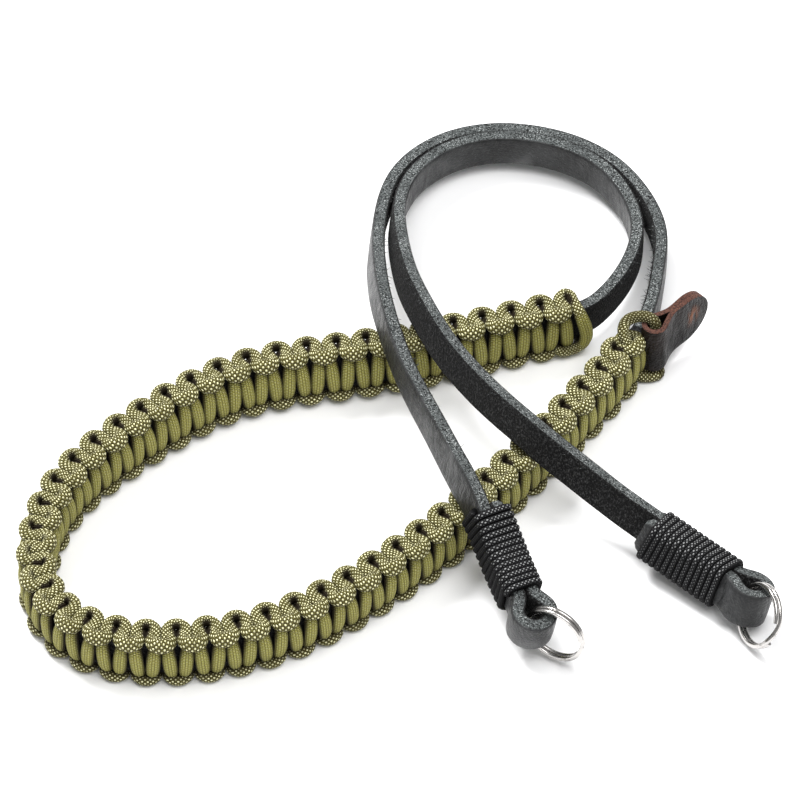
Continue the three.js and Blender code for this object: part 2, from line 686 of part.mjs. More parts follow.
// Upright solid with a teardrop plan: round about the eye, narrowing to where the layers meet.
function teardrop(radius, meetingThickness, height) {
  const reach = TAB_MEETING - TAB_LEATHER;
  const half = meetingThickness / 2;
  const tangent = Math.atan2(half, reach) + Math.acos(radius / Math.hypot(reach, half));
  const plan = new THREE.Shape();
  plan.moveTo(reach, half);
  plan.lineTo(radius * Math.cos(tangent), radius * Math.sin(tangent));
  plan.absarc(0, 0, radius, tangent, 2 * Math.PI - tangent, false);
  plan.lineTo(reach, -half);
  const solid = new THREE.ExtrudeGeometry(plan, {
    depth: height,
    bevelEnabled: false,
    curveSegments: 2 * TAB_ARC_STEPS,
  });
  solid.translate(0, 0, -height / 2);
  return toSolid(solid);
}

// Leather tab: two layers that open into an eye round the cord and lie together to a round tip.
function leatherTab() {
  const thickness = 2 * TAB_LEATHER;
  const tip = TAB_WIDTH / 2;
  const shape = new THREE.Shape();
  shape.moveTo(0, -tip);
  shape.lineTo(TAB_LENGTH - tip, -tip);
  shape.absarc(TAB_LENGTH - tip, 0, tip, -Math.PI / 2, Math.PI / 2, false);
  shape.lineTo(0, tip);
  const flat = new THREE.ExtrudeGeometry(shape, {
    depth: thickness,
    bevelEnabled: false,
    curveSegments: TAB_ARC_STEPS,
  });
  flat.translate(0, 0, -thickness / 2);
  flat.rotateX(Math.PI / 2);
  const bulge = teardrop(TAB_EYE_OUTER, thickness, TAB_WIDTH);
  const opening = teardrop(TAB_EYE_RADIUS, SEAT_GAP, 2 * TAB_WIDTH);
  const geometry = toGeometry(toSolid(flat).add(bulge).subtract(opening));
  const frame = tabFrame();
  const place = inFrame(frame, TAB_EYE_OFFSET, 0, TAB_EYE_DISTANCE).setZ(TAB_MIDDLE);
  const turn = Math.atan2(frame.along.y, frame.along.x) + radians(TAB_TURN);
  geometry.rotateZ(turn);
  geometry.translate(place.x, place.y, place.z);
  return geometry;
}

const LEFT_RING = ringFrame(0, -1, LEFT_RING_SWING, LEFT_RING_LEAN);
const RIGHT_RING = ringFrame(ROUTE_LENGTH, 1, RIGHT_RING_SWING, RIGHT_RING_LEAN);

function piece(name, geometry, finish) {
  const mesh = new THREE.Mesh(geometry, new THREE.MeshStandardMaterial(finish));
  mesh.name = name;
  return mesh;
}

const strap = new THREE.Group();
strap.add(
  piece('leather_strap', leatherStrap(), LEATHER_FINISH),
  piece('cord_braid', cordBraid(), BRAID_FINISH),
  piece('whipping_left', whipping(0, -1), WHIPPING_FINISH),
  piece('whipping_right', whipping(ROUTE_LENGTH, 1), WHIPPING_FINISH),
  piece('split_ring_left', splitRing(LEFT_RING), RING_FINISH),
  piece('split_ring_right', splitRing(RIGHT_RING), RING_FINISH),
  piece('tab_cord', tabCord(), BRAID_FINISH),
  piece('leather_tab', leatherTab(), TAB_FINISH),
);

// The origin lies on the table under the middle of the whole strap.
const bounds = new THREE.Box3().setFromObject(strap);
const middle = bounds.getCenter(new THREE.Vector3());
strap.position.set(-middle.x, -middle.y, -bounds.min.z);

export default strap;
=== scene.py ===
"""Looks of a coiled camera strap: leather strip, braided cord sleeve, whipped ends, split rings and tab."""

import logging
import math
from dataclasses import dataclass, field
from enum import Enum
from typing import Any, Sequence

import bpy
import numpy as np
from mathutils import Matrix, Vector


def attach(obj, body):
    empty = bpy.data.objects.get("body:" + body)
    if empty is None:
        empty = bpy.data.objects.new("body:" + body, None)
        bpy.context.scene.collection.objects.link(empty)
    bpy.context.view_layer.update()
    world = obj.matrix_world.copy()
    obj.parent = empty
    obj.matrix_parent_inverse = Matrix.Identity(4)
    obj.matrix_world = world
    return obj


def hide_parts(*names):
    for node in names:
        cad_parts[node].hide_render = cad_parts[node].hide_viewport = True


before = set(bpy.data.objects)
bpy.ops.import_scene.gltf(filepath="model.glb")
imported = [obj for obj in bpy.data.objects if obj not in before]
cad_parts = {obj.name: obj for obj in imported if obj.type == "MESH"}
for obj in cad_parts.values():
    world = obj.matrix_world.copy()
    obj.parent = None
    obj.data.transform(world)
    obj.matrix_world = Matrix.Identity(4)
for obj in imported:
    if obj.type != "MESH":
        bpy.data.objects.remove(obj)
log = logging.getLogger("strap")

Array = np.ndarray
Colour = tuple[float, float, float]

# The routes are drawn in millimetres; Blender's unit is the metre.
MM = 0.001
UP = np.array([0.0, 0.0, 1.0])

# Routes of the strip. Columns: x, y of the middle of its upper edge as shares of the layout's width
# and depth, height of its lower edge as a share of the ride height, lean in degrees.
LEFT_ARM = [
    (0.149, -0.423, 0.41, 4), (0.131, -0.374, 0.5, 6), (0.112, -0.321, 0.79, 9),
    (0.098, -0.284, 0.95, 12), (0.085, -0.252, 1.01, 14), (0.07, -0.214, 0.98, 12),
    (0.05, -0.162, 0.98, 9), (0.033, -0.12, 0.99, 8), (0.013, -0.07, 1, 6),
    (-0.003, -0.018, 1.03, 6), (-0.015, 0.037, 1.05, 8), (-0.024, 0.099, 0.96, 10),
    (-0.028, 0.17, 0.74, 9),
]
RIGHT_ARM = [
    (0.013, 0.118, 0.94, -13), (0.032, 0.058, 1.05, -14), (0.057, -0.004, 1.03, -14),
    (0.088, -0.056, 1, -14), (0.125, -0.108, 0.98, -14), (0.163, -0.154, 0.99, -14),
    (0.19, -0.18, 0.91, -14), (0.222, -0.201, 0.74, -14), (0.254, -0.224, 0.58, -14),
    (0.292, -0.25, 0.4, -15), (0.331, -0.275, 0.25, -17), (0.379, -0.314, 0.15, -19),
    (0.427, -0.358, 0.13, -21),
]

# Open loop. Columns: x, y of the inner strand's upper edge, gap to the outer strand as a share of
# the strip's width, inner lift, outer lift, inner lean, outer lean.
LOOP = [
    (0.311, 0.242, 0.3, 0.2, 0.2, 0, 0), (0.313, 0.285, 0.16, 0.2, 0.19, 0, 0),
    (0.297, 0.34, 0.05, 0.2, 0.17, 0, 0), (0.267, 0.391, 0, 0.2, 0.15, 0, 0),
    (0.213, 0.429, 0, 0.2, 0.14, 0, 0), (0.14, 0.446, 0.02, 0.2, 0.13, 0, 0),
    (0.079, 0.432, 0.04, 0.2, 0.14, 0, 0), (0.037, 0.399, 0.05, 0.21, 0.17, -1, 0),
    (0.01, 0.354, 0.05, 0.28, 0.25, -3, 2), (-0.003, 0.283, 0.08, 0.48, 0.4, -7, 5),
    (0.001, 0.206, 0.22, 0.71, 0.58, -10, 8),
]

# The strip where it goes into the braid, through it and out of it. Columns: x, y, lean.
INTO_BRAID = [(0.337, 0.185, 0), (0.331, 0.138, 0), (0.318, 0.09, 0)]
OUT_OF_BRAID = [(0.263, 0.137, 0), (0.283, 0.167, 0), (0.3, 0.203, 0)]
BRAID_PATH = [
    (0.297, 0.047, 0), (0.274, 0, 0), (0.242, -0.045, 0), (0.197, -0.112, 0),
    (0.139, -0.189, 0), (0.082, -0.257, 0), (0.027, -0.317, 0), (-0.034, -0.372, 0),
    (-0.098, -0.425, 0), (-0.166, -0.463, 0), (-0.243, -0.487, 0), (-0.324, -0.494, 0),
    (-0.4, -0.471, 0), (-0.453, -0.411, 0), (-0.464, -0.329, 0), (-0.448, -0.246, -2),
    (-0.408, -0.176, -4), (-0.354, -0.12, -6), (-0.296, -0.066, -7), (-0.231, -0.018, -8),
    (-0.159, 0.01, -8), (-0.087, 0.022, -8), (-0.01, 0.038, -8), (0.065, 0.058, -7),
    (0.139, 0.082, -5), (0.196, 0.099, -3), (0.243, 0.115, -1),
]

# One cord of the braid over half a pitch, from its turn at the back of the upper edge, down the
# front as a bar, to its turn at the back of the lower edge. Columns: place along as a share of the
# pitch, height and depth as shares of the cord's reach beyond the strip, half width and half
# thickness as shares of half the cord.
CORD_ROUTE = [
    (0.0, 1.04, -0.88, 1.18, 0.8), (0.13, 1.04, -0.83, 1.14, 0.8), (0.25, 1.02, -0.66, 1.02, 0.8),
    (0.325, 0.99, -0.3, 0.84, 0.8), (0.34, 0.93, 0.06, 0.74, 0.8), (0.325, 0.83, 0.4, 0.78, 0.78),
    (0.3, 0.66, 0.7, 0.94, 0.74), (0.275, 0.38, 0.86, 1.04, 0.72), (0.25, 0.0, 0.9, 1.06, 0.72),
]

# The braid's last cord at its far end: down across the end and back under it, with the same
# columns, and its place along counted from the braid's last pitch but one.
LAST_TURN = [
    (0.62, 1.05, 0.6, 0.9, 0.78), (0.64, 1.03, 0.0, 0.8, 0.82), (0.68, 0.9, -0.62, 0.9, 0.78),
    (0.75, 0.56, -1.02, 1.0, 0.74), (0.84, 0.06, -1.12, 1.04, 0.74), (0.86, -0.38, -1.14, 1.0, 0.74),
    (0.74, -0.76, -1.12, 0.96, 0.74), (0.46, -0.9, -1.08, 0.96, 0.74), (0.12, -0.92, -1.05, 0.96, 0.74),
    (-0.12, -0.82, -0.85, 0.8, 0.7),
]

# The last loop of cord at the tab, from under the braid's last roll, over the tab, down its eye
# and back on the table. Columns: distance into the braid, height and depth in millimetres.
TAB_CORD_ROUTE = [
    (3.6, 3.4, 3.2), (3.2, 6.6, 2.2), (2.6, 9.2, 0.0), (1.2, 11.2, -1.4), (-0.8, 12.4, -1.6),
    (-2.4, 13.1, -0.6), (-3.8, 13.5, 1.4), (-4.7, 13.3, 3.8), (-4.7, 12.3, 5.6), (-4.3, 9.5, 6.15),
    (-4.25, 2.0, 6.15), (-4.3, -4.6, 6.3), (-4.7, -6.9, 7.1), (-3.6, -7.7, 8.1), (-1.7, -7.7, 6.9),
    (-0.4, -7.7, 4.9), (0.3, -7.6, 3.0), (1.2, -7.2, 0.8), (2.6, -6.4, -1.2),
]


def unit(vectors: Array) -> Array:
    """Scales each vector of an array to length one.

    Args:
        vectors: Vectors in the last axis.

    Returns:
        The same directions with length one.
    """
    return vectors / np.maximum(np.linalg.norm(vectors, axis=-1, keepdims=True), 1e-12)


def smooth_step(values: Array) -> Array:
    """Eases values from 0 to 1 with level ends.

    Args:
        values: Shares, which are cut to 0 to 1.

    Returns:
        The eased shares.
    """
    cut = np.clip(values, 0.0, 1.0)
    return cut * cut * (3.0 - 2.0 * cut)


def path_lengths(points: Array) -> Array:
    """Distance along a line of points.

    Args:
        points: Points of the line, one a row.

    Returns:
        The distance from the first point to each point.
    """
    steps = np.linalg.norm(np.diff(points, axis=0), axis=1)
    return np.concatenate([[0.0], np.cumsum(steps)])


def through(points: Array, steps: int) -> Array:
    """Smooth line through points, without overshoot where they lie close together.

    Args:
        points: Points or rows of values, one a row.
        steps: Samples between two neighbouring points.

    Returns:
        The samples, from the first point to the last.
    """
    ends = [2 * points[0] - points[1]], [2 * points[-1] - points[-2]]
    padded = np.concatenate([ends[0], points, ends[1]])
    share = np.linspace(0.0, 1.0, steps, endpoint=False)[:, None]
    parts = []
    for first in range(len(points) - 1):
        a, b, c, d = padded[first:first + 4]
        knots = [0.0]
        for start, stop in ((a, b), (b, c), (c, d)):
            knots.append(knots[-1] + max(float(np.linalg.norm(stop - start)) ** 0.5, 1e-9))
        t0, t1, t2, t3 = knots
        t = t1 + share * (t2 - t1)
        ab = (t1 - t) / (t1 - t0) * a + (t - t0) / (t1 - t0) * b
        bc = (t2 - t) / (t2 - t1) * b + (t - t1) / (t2 - t1) * c
        cd = (t3 - t) / (t3 - t2) * c + (t - t2) / (t3 - t2) * d
        abc = (t2 - t) / (t2 - t0) * ab + (t - t0) / (t2 - t0) * bc
        bcd = (t3 - t) / (t3 - t1) * bc + (t - t1) / (t3 - t1) * cd
        parts.append((t2 - t) / (t2 - t1) * abc + (t - t1) / (t2 - t1) * bcd)
    return np.concatenate([*parts, points[-1:]])


@dataclass
class Stations:
    """Section frames along the strip: centre, the way it runs, its width (up) and its grain side (out)."""

    centre: Array
    along: Array
    up: Array
    out: Array

    def place(self, out: Any = 0.0, up: Any = 0.0, along: Any = 0.0) -> Array:
        """Points at the same place of every section.

        Args:
            out: Distance towards the grain side, one value or one a station.
            up: Distance towards the upper edge.
            along: Distance along the strip.

        Returns:
            One point a station.
        """
        moved = self.centre
        for way, distance in ((self.out, out), (self.up, up), (self.along, along)):
            moved = moved + way * np.reshape(distance, (-1, 1))
        return moved

    def then(self, other: "Stations") -> "Stations":
        """The stations of this line followed by those of another."""
        names = ("centre", "along", "up", "out")
        return Stations(*(np.concatenate([getattr(self, n), getattr(other, n)]) for n in names))

    def turned_back(self) -> "Stations":
        """The same stations from the other end, running the other way round."""
        return Stations(self.centre[::-1], -self.along[::-1], self.up[::-1], -self.out[::-1])


@dataclass
class Route:
    """The strip's whole way on the table, in millimetres."""

    width: float = 220.0
    depth: float = 200.0
    strap_width: float = 10.8
    strap_thickness: float = 3.8
    braid_width: float = 18.8
    braid_thickness: float = 10.6
    braid_lean: float = 8.0
    gap: float = 0.3
    reach: float = 0.02
    samples: int = 12
    shift: tuple[float, float, float] = (0.257, 4.380, 0.024)

    def __post_init__(self) -> None:
        """Joins the tables into one route and measures it."""
        core = self.core_lift(0.0)
        before = [*LEFT_ARM, *reversed(self.loop_strand(True))]
        before += [(x, y, core, lean) for x, y, lean in INTO_BRAID]
        braid = [(x, y, self.core_lift(lean), lean) for x, y, lean in BRAID_PATH]
        after = [(x, y, core, lean) for x, y, lean in OUT_OF_BRAID]
        after += [*self.loop_strand(False), *RIGHT_ARM]
        self.rows = np.array([*before, *braid, *after], float)
        places = np.arange((len(self.rows) - 1) * self.samples + 1) / self.samples
        self.places = places
        self.lengths = path_lengths(self.at(places).centre)
        self.length = float(self.lengths[-1])
        self.braid_start = float(self.lengths[len(before) * self.samples])
        self.braid_end = float(self.lengths[(len(before) + len(braid) - 1) * self.samples])

    def half_height(self, width: float, thickness: float, lean: float) -> float:
        """Half the height of a leaning rectangle."""
        tip = math.radians(abs(lean))
        return (math.cos(tip) * width + math.sin(tip) * thickness) / 2

    @property
    def ride_height(self) -> float:
        """Height that carries the strip over the braid."""
        braid = self.half_height(self.braid_width, self.braid_thickness, self.braid_lean)
        return 2 * braid + self.gap

    def core_lift(self, lean: float) -> float:
        """How high the strip lies in the middle of the braid.

        Args:
            lean: Lean of the braid in degrees.

        Returns:
            The height as a share of the ride height.
        """
        braid = self.half_height(self.braid_width, self.braid_thickness, lean)
        strip = self.half_height(self.strap_width, self.strap_thickness, lean)
        return (braid - strip) / self.ride_height

    def loop_strand(self, outer: bool) -> list[tuple[float, float, float, float]]:
        """Rows of one strand of the open loop.

        Args:
            outer: True for the strand outside, False for the one inside.

        Returns:
            Rows with the columns of the arms.
        """
        rows = []
        for i, (x, y, apart, inner_lift, outer_lift, inner_lean, outer_lean) in enumerate(LOOP):
            behind, ahead = LOOP[max(i - 1, 0)], LOOP[min(i + 1, len(LOOP) - 1)]
            run = np.array([(ahead[0] - behind[0]) * self.width, (ahead[1] - behind[1]) * self.depth])
            run = unit(run)
            reach = self.strap_thickness + self.gap + apart * self.strap_width if outer else 0.0
            rows.append((
                x + run[1] * reach / self.width,
                y - run[0] * reach / self.depth,
                outer_lift if outer else inner_lift,
                outer_lean if outer else inner_lean,
            ))
        return rows

    def upper_edge(self, places: Array) -> tuple[Array, Array]:
        """Upper edge of the strip.

        Args:
            places: Places of the route, in rows of its table.

        Returns:
            The points and the lean in radians at them.
        """
        rows = self.rows
        padded = np.concatenate([[2 * rows[0] - rows[1]], rows, [2 * rows[-1] - rows[-2]]])
        i = np.minimum(np.floor(places).astype(int), len(rows) - 2)
        f = (places - i)[:, None]
        row = (
            (1 - f) ** 3 / 6 * padded[i]
            + (3 * f ** 3 - 6 * f ** 2 + 4) / 6 * padded[i + 1]
            + (-3 * f ** 3 + 3 * f ** 2 + 3 * f + 1) / 6 * padded[i + 2]
            + f ** 3 / 6 * padded[i + 3]
        )
        lean = np.radians(row[:, 3])
        rise = self.strap_width * np.cos(lean) + self.strap_thickness / 2 * np.abs(np.sin(lean))
        height = row[:, 2] * self.ride_height + rise
        points = np.stack([row[:, 0] * self.width, row[:, 1] * self.depth, height], axis=1)
        return points + np.array(self.shift), lean

    def at(self, places: Array) -> Stations:
        """Section frames at places of the route's table.

        Args:
            places: Places in rows of the table.

        Returns:
            One station a place.
        """
        last = len(self.rows) - 1
        points, lean = self.upper_edge(places)
        ahead = self.upper_edge(np.minimum(places + self.reach, last))[0]
        behind = self.upper_edge(np.maximum(places - self.reach, 0))[0]
        along = unit(ahead - behind)
        left = unit(np.cross(UP, along))
        rise = np.cross(along, left)
        up = rise * np.cos(lean)[:, None] - left * np.sin(lean)[:, None]
        out = np.cross(up, along)
        return Stations(points - up * self.strap_width / 2, along, up, out)

    def at_length(self, lengths: Any) -> Stations:
        """Section frames at distances along the strip, in millimetres."""
        return self.at(np.interp(np.atleast_1d(lengths), self.lengths, self.places))


def alone(obj: bpy.types.Object) -> None:
    """Selects one object alone and makes it the active one.

    Args:
        obj: The object.
    """
    bpy.ops.object.select_all(action="DESELECT")
    obj.select_set(True)
    bpy.context.view_layer.objects.active = obj


def in_edit_mode(obj: bpy.types.Object) -> None:
    """Opens one object for editing, with all of it selected.

    Args:
        obj: The object.
    """
    alone(obj)
    bpy.ops.object.mode_set(mode="EDIT")
    bpy.ops.mesh.select_all(action="SELECT")


def face_outwards() -> None:
    """Turns the selected faces outwards and leaves edit mode."""
    bpy.ops.mesh.normals_make_consistent(inside=False)
    bpy.ops.object.mode_set(mode="OBJECT")


def smooth(obj: bpy.types.Object, angle: float = 180.0) -> None:
    """Shades an object smooth up to an angle between faces, in degrees."""
    alone(obj)
    bpy.ops.object.shade_smooth_by_angle(angle=math.radians(angle))


def new_grid(name: str, across: int, along: int) -> bpy.types.Object:
    """Adds a flat grid of side one.

    Args:
        name: Name of the piece.
        across: Its parts in x.
        along: Its parts in y.

    Returns:
        The grid.
    """
    bpy.ops.object.select_all(action="DESELECT")
    bpy.ops.mesh.primitive_grid_add(x_subdivisions=across, y_subdivisions=along, size=1, location=(0, 0, 0))
    grid = bpy.context.object
    grid.name = grid.data.name = name
    return grid


def wrapped(
    name: str, rings: Array, around: Array | None = None, values: dict[str, Array] | None = None,
) -> bpy.types.Object:
    """Wraps a flat grid into a bar through rings of points, and closes its ends.

    Args:
        name: Name of the piece.
        rings: Rings of points in millimetres, (rings, points, 3).
        around: Share of the way round of each point and of the closing one, or None for even shares.
        values: Named values of the points, (rings, points), which are kept as attributes.

    Returns:
        The piece, with its length in millimetres and its way round as UV.
    """
    steps, sides = rings.shape[0] - 1, rings.shape[1]
    obj = new_grid(name, steps, sides)
    mesh = obj.data
    flat = np.empty(len(mesh.vertices) * 3)
    mesh.vertices.foreach_get("co", flat)
    flat = flat.reshape(-1, 3)
    i = np.rint((flat[:, 0] + 0.5) * steps).astype(int)
    j = np.rint((flat[:, 1] + 0.5) * sides).astype(int)
    mesh.vertices.foreach_set("co", (rings[i, j % sides] * MM).ravel())
    for kept, table in (values or {}).items():
        layer = mesh.attributes.new(kept, "FLOAT", "POINT").data
        layer.foreach_set("value", table[i, j % sides].astype(np.float32))
    lengths = path_lengths(rings.mean(axis=1))
    shares = np.linspace(0.0, 1.0, sides + 1) if around is None else around
    layer = mesh.uv_layers.active.data
    corner = np.empty(len(mesh.loops), int)
    mesh.loops.foreach_get("vertex_index", corner)
    layer.foreach_set("uv", np.stack([lengths[i[corner]], shares[j[corner]]], axis=1).ravel())
    in_edit_mode(obj)
    bpy.ops.mesh.remove_doubles(threshold=1e-6)
    bpy.ops.mesh.select_all(action="SELECT")
    bpy.ops.mesh.fill_holes(sides=0)
    bpy.ops.mesh.select_all(action="SELECT")
    face_outwards()
    return obj


def cord_rings(points: Array, outward: Array, half_width: Any, half_thickness: Any, sides: int) -> Array:
    """Rings of a flattened round cord along a line.

    Args:
        points: Line of the cord's middle.
        outward: The way that its flat back looks, one a point.
        half_width: Half the width across the line, one value or one a point.
        half_thickness: Half the thickness outwards.
        sides: Points a ring.

    Returns:
        Rings of points, (points, sides, 3).
    """
    run = unit(np.gradient(points, axis=0))
    side = unit(np.cross(run, outward))
    rise = np.cross(side, run)
    angle = np.linspace(0.0, 2 * math.pi, sides, endpoint=False)
    across = side[:, None] * np.cos(angle)[:, None] * np.reshape(half_width, (-1, 1, 1))
    over = rise[:, None] * np.sin(angle)[:, None] * np.reshape(half_thickness, (-1, 1, 1))
    return points[:, None] + across + over


class Weave(Enum):
    """The two cords: the braid's, with close dots, and the whipping's, with few."""

    OLIVE = "olive"
    BLACK = "black"


class Nodes:
    """Writes shader nodes into a material or a group."""

    def __init__(self, tree: bpy.types.NodeTree) -> None:
        """Starts on a node tree."""
        self.tree = tree

    def add(self, kind: str, inputs: dict | None = None, **settings: Any) -> bpy.types.Node:
        """Adds a node, and sets or links its inputs.

        Args:
            kind: Node type without its "ShaderNode" start.
            inputs: Input name or number to a value or an output socket.
            settings: Properties of the node.

        Returns:
            The node.
        """
        node = self.tree.nodes.new("ShaderNode" + kind)
        for name, value in settings.items():
            setattr(node, name, value)
        for key, value in (inputs or {}).items():
            if isinstance(value, bpy.types.NodeSocket):
                self.tree.links.new(value, node.inputs[key])
            else:
                node.inputs[key].default_value = value
        return node

    def attribute(self, name: str) -> bpy.types.NodeSocket:
        """Reads a named value of the piece's points."""
        return self.add("Attribute", attribute_name=name).outputs["Fac"]

    def math(self, operation: str, *values: Any) -> bpy.types.NodeSocket:
        """Adds a Math node and returns its result."""
        return self.add("Math", dict(enumerate(values)), operation=operation).outputs[0]

    def times(self, first: Any, *others: Any) -> bpy.types.NodeSocket:
        """Multiplies values.

        Args:
            first: The first value.
            others: The values that it is multiplied by, one after the other.

        Returns:
            The product.
        """
        for other in others:
            first = self.math("MULTIPLY", first, other)
        return first

    def spread(
        self, value: Any, low: float, high: float, to_low: float = 0.0, to_high: float = 1.0,
    ) -> bpy.types.NodeSocket:
        """Spreads a value from one range to another, with soft ends."""
        ends = {"From Min": low, "From Max": high, "To Min": to_low, "To Max": to_high}
        return self.add("MapRange", {"Value": value, **ends}, interpolation_type="SMOOTHSTEP").outputs[0]

    def mix(self, share: Any, first: Any, second: Any) -> bpy.types.NodeSocket:
        """Mixes two colours by a share."""
        full = [(*c, 1.0) if isinstance(c, tuple) else c for c in (first, second)]
        return self.add("Mix", {0: share, 6: full[0], 7: full[1]}, data_type="RGBA").outputs[2]

    def noise(
        self, place: Any, scale: float, detail: float = 2.0, roughness: float = 0.5,
    ) -> bpy.types.NodeSocket:
        """Adds a noise and returns its value."""
        values = {"Vector": place, "Scale": scale, "Detail": detail, "Roughness": roughness}
        return self.add("TexNoise", values).outputs[0]

    def group(self, made: bpy.types.NodeTree, inputs: dict) -> bpy.types.Node:
        """Adds a node group with its inputs."""
        return self.add("Group", inputs, node_tree=made)


def new_group(
    name: str, inputs: Sequence[str], outputs: Sequence[str],
) -> tuple[bpy.types.NodeTree, Nodes, Any, Any]:
    """Starts a shader group of plain numbers; an input named Place is a vector.

    Args:
        name: Name of the group.
        inputs: Names of its inputs.
        outputs: Names of its outputs.

    Returns:
        The group, its writer, its input node and its output node.
    """
    made = bpy.data.node_groups.new(name, "ShaderNodeTree")
    for side, names in (("INPUT", inputs), ("OUTPUT", outputs)):
        for socket in names:
            kind = "NodeSocketVector" if socket == "Place" else "NodeSocketFloat"
            made.interface.new_socket(name=socket, in_out=side, socket_type=kind)
    start = made.nodes.new("NodeGroupInput")
    stop = made.nodes.new("NodeGroupOutput")
    return made, Nodes(made), start, stop


def weave_group() -> bpy.types.NodeTree:
    """Woven cord sheath from the cord's own length and way round.

    Returns:
        A group that gives the light dots, the fine slanting strands and the height.
    """
    made, put, start, stop = new_group(
        "cord weave", ["Length", "Around", "Row", "Count"], ["Dots", "Strands", "Height"],
    )
    along = put.math("DIVIDE", start.outputs["Length"], start.outputs["Row"])
    around = put.times(start.outputs["Around"], start.outputs["Count"], math.pi)
    wave = put.math("COSINE", put.times(along, math.pi))
    cells = put.times(wave, put.math("COSINE", around))
    fold = put.math("SUBTRACT", put.math("MODULO", around, 4 * math.pi), 2 * math.pi)
    slant = put.math("ADD", put.times(along, 2 * math.pi), put.math("ABSOLUTE", fold))
    strands = put.math("MULTIPLY_ADD", put.math("SINE", slant), 0.5, 0.5)
    link = made.links.new
    link(put.spread(cells, 0.26, 0.58), stop.inputs["Dots"])
    link(strands, stop.inputs["Strands"])
    link(put.math("ABSOLUTE", cells), stop.inputs["Height"])
    return made


def fleck_group() -> bpy.types.NodeTree:
    """Short fibre ends, as on cut leather.

    Returns:
        A group that gives light flecks, dark flecks and the height.
    """
    made, put, start, stop = new_group("fibre flecks", ["Place", "Scale"], ["Light", "Dark", "Height"])
    place, scale = start.outputs["Place"], start.outputs["Scale"]
    fine = put.noise(place, 1.0, 3.0, 0.7)
    coarse = put.noise(place, 1.0, 2.0, 0.6)
    for socket, times in ((fine, 1.0), (coarse, 0.7)):
        made.links.new(put.times(scale, times), socket.node.inputs["Scale"])
    made.links.new(put.spread(fine, 0.48, 0.62), stop.inputs["Light"])
    made.links.new(put.spread(coarse, 0.52, 0.38), stop.inputs["Dark"])
    made.links.new(put.math("ADD", fine, coarse), stop.inputs["Height"])
    return made


@dataclass(frozen=True)
class Finish:
    """What every finish has: its name and the roughness of its surface."""

    name: str
    roughness: float = 0.6

    def start(self) -> tuple[bpy.types.Material, Nodes, bpy.types.Node, bpy.types.NodeSocket]:
        """Starts the material.

        Returns:
            The material, its writer, its surface shader and the place on the piece.
        """
        material = bpy.data.materials.new(self.name)
        material.use_nodes = True
        put = Nodes(material.node_tree)
        shader = material.node_tree.nodes["Principled BSDF"]
        shader.inputs["Roughness"].default_value = self.roughness
        place = put.add("TexCoord").outputs["Object"]
        return material, put, shader, place

    def bump(
        self, put: Nodes, shader: bpy.types.Node, height: Any, distance: float, strength: float = 1.0,
    ) -> None:
        """Raises the surface by a height, with the distance in millimetres."""
        node = put.add("Bump", {"Height": height, "Distance": distance * MM, "Strength": strength})
        put.tree.links.new(node.outputs[0], shader.inputs["Normal"])

    def colour(self, put: Nodes, shader: bpy.types.Node, value: Any) -> None:
        """Links the surface colour."""
        put.tree.links.new(value, shader.inputs["Base Color"])


@dataclass(frozen=True)
class GrainLeather(Finish):
    """Smooth satin side of the leather, with fine pores and wear."""

    dark: Colour = (0.006, 0.0063, 0.0065)
    light: Colour = (0.028, 0.029, 0.03)
    scuff: Colour = (0.08, 0.081, 0.082)
    shine: float = 0.28
    scuff_from: float = 0.68
    patch_scale: float = 60.0
    pore_scale: float = 1500.0
    pore_height: float = 0.3
    crease_scale: float = 520.0
    crease_height: float = 1.6
    crease_turn: float = 0.5
    crease_length: float = 0.35
    relief: float = 0.6

    def make(self) -> bpy.types.Material:
        """Builds the material.

        Returns:
            The material.
        """
        material, put, shader, place = self.start()
        patches = put.noise(place, self.patch_scale, 4.0, 0.6)
        cells = put.add("TexVoronoi", {"Vector": place, "Scale": self.pore_scale}, feature="SMOOTH_F1")
        drawn = put.add("Mapping", {
            "Vector": place, "Rotation": (0.0, self.crease_turn, 0.0), "Scale": (1.0, 1.0, self.crease_length),
        })
        creases = put.noise(drawn.outputs[0], self.crease_scale, 5.0, 0.65)
        base = put.mix(put.spread(patches, 0.3, 0.7), self.dark, self.light)
        marks = put.math("ADD", patches, put.times(creases, 0.25))
        worn = put.spread(marks, self.scuff_from, self.scuff_from + 0.2)
        rubbed = put.times(put.attribute("rubbed"), put.spread(creases, 0.4, 0.58))
        self.colour(put, shader, put.mix(put.math("MAXIMUM", worn, rubbed), base, self.scuff))
        rough = put.spread(creases, 0.3, 0.7, self.roughness - 0.08, self.roughness + 0.12)
        put.tree.links.new(rough, shader.inputs["Roughness"])
        pores = put.times(cells.outputs[0], self.pore_height)
        height = put.math("ADD", pores, put.times(creases, self.crease_height))
        shader.inputs["Specular IOR Level"].default_value = self.shine
        self.bump(put, shader, height, self.relief, 0.9)
        return material


